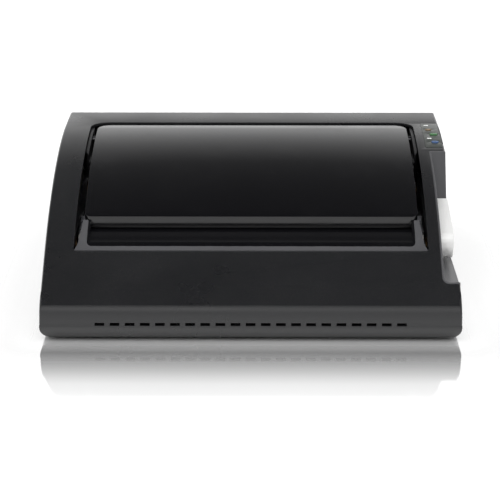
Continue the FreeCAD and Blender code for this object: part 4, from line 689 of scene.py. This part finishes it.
def soft_key(name, colour, glow):
    """Translucent silicone lit faintly from below."""
    material, tree, shader = new_finish(name)
    place = object_place(tree)
    wear = use_group(tree, handling_wear, Dust=0.15)
    tone = blend_colour(tree, noise(tree, place, 400.0), times(colour, 0.8), times(colour, 1.2))
    wire(tree, shader["Base Color"], blend_colour(tree, wear["Edge"], tone, times(colour, 1.6)))
    wire(tree, shader["Emission Color"], tone)
    shader["Emission Strength"].default_value = glow
    wire(tree, shader["Roughness"], sums(tree, "MULTIPLY_ADD", wear["Scuffs"], 0.10, 0.34))
    roughen(tree, shader, noise(tree, place, 2100.0, detail=2.0), depth=0.000006)
    return material


TRACK_SCALE = 130.0


def circuit_board(name, colour):
    """Green solder resist with copper tracks showing through in patches of either direction."""
    material, tree, shader = new_finish(name)
    place = object_place(tree)
    wear = use_group(tree, handling_wear, Dust=0.3)
    across, along = (add_node(tree, "ShaderNodeTexWave", ("Vector", place), ("Scale", TRACK_SCALE),
                              bands_direction=way).outputs["Fac"] for way in "XY")
    patch = add_node(tree, "ShaderNodeTexVoronoi", ("Vector", place), ("Scale", 120.0)).outputs["Color"]
    chosen = add_node(tree, "ShaderNodeSeparateColor", ("Color", patch)).outputs[0]
    turned = sums(tree, "GREATER_THAN", chosen, 0.5)
    tracks = add_node(tree, "ShaderNodeMix", (0, turned), (2, across), (3, along)).outputs[0]
    copper = spread(tree, tracks, low=0.70, high=0.80)
    tone = blend_colour(tree, copper, colour, times(colour, 2.2))
    wire(tree, shader["Base Color"], blend_colour(tree, wear["Dust"], tone, DUST_COLOUR))
    wire(tree, shader["Roughness"], spread(tree, noise(tree, place, 90.0), low=0.3, high=0.7,
                                           to_low=0.25, to_high=0.38))
    roughen(tree, shader, copper, depth=0.00003)
    return material


KEY_COLOURS = {"green": (0.035, 0.13, 0.04), "blue": (0.03, 0.07, 0.17), "amber": (0.15, 0.10, 0.05)}
moulding("control_strip", "control_bezel", printed_film("printed_film", (0.036, 0.041, 0.037)), "root",
         "inner_black", SMALL_EDGE)
for hue, colour in KEY_COLOURS.items():
    silicone = soft_key(hue + "_silicone", colour, glow=0.1)
    moulding(hue + "_soft_key", hue + "_button", silicone, hue + "_key", "key_" + hue, SMALL_EDGE)
dress(soft_key("clear_lens", (0.75, 0.77, 0.75), glow=0.3), "indicator_lights")
dress(deck_black, "key_switches")
board_green = circuit_board("solder_resist", (0.010, 0.075, 0.028))
dress(board_green, "control_board")


# ------------------------------------------------------------------ mains inlet and power unit
# The moulded inlet and the rocker switch snap into a plated steel panel at the rear, in front of
# a power board with its transformer and heat sink.  The rocker is plain gloss black.

SHEET_SCALE = 320.0
PANEL_EDGE = 0.0002


def laminated_core(name, colour):
    """Stacked iron sheets and dipped windings, varnished dark."""
    material, tree, shader = new_finish(name)
    place = object_place(tree)
    wear = use_group(tree, handling_wear, Dust=0.5)
    sheets = add_node(tree, "ShaderNodeTexWave", ("Vector", place), ("Scale", SHEET_SCALE),
                      bands_direction="Z").outputs["Fac"]
    tone = blend_colour(tree, sheets, times(colour, 0.7), times(colour, 1.3))
    rubbed = blend_colour(tree, wear["Edge"], tone, times(colour, 2.5))
    wire(tree, shader["Base Color"], blend_colour(tree, wear["Dust"], rubbed, DUST_COLOUR))
    wire(tree, shader["Roughness"], spread(tree, noise(tree, place, 60.0), low=0.3, high=0.7,
                                           to_low=0.38, to_high=0.55))
    shader["Metallic"].default_value = 0.3
    roughen(tree, shader, sheets, depth=0.00004)
    return material


switch_black = gloss_plastic("switch_black", (0.006, 0.006, 0.006), roughness=0.30, smudges=0.08,
                             dust=0.15)
moulding("inlet_body", "mains_inlet", deck_black, "root", "inner_black", SMALL_EDGE)
moulding("switch_frame", "switch_housing", deck_black, "root", "inner_black", SMALL_EDGE)
moulding("switch_rocker", "rocker", switch_black, "mains_rocker", "gloss_black", SMALL_EDGE)
moulding("rear_plate", "service_panel", zinc_steel, "root", "zinc_steel", PANEL_EDGE)
dress(bronze, "inlet_pins")
dress(board_green, "power_board")
dress(laminated_core("laminated_core", (0.045, 0.040, 0.036)), "power_parts")
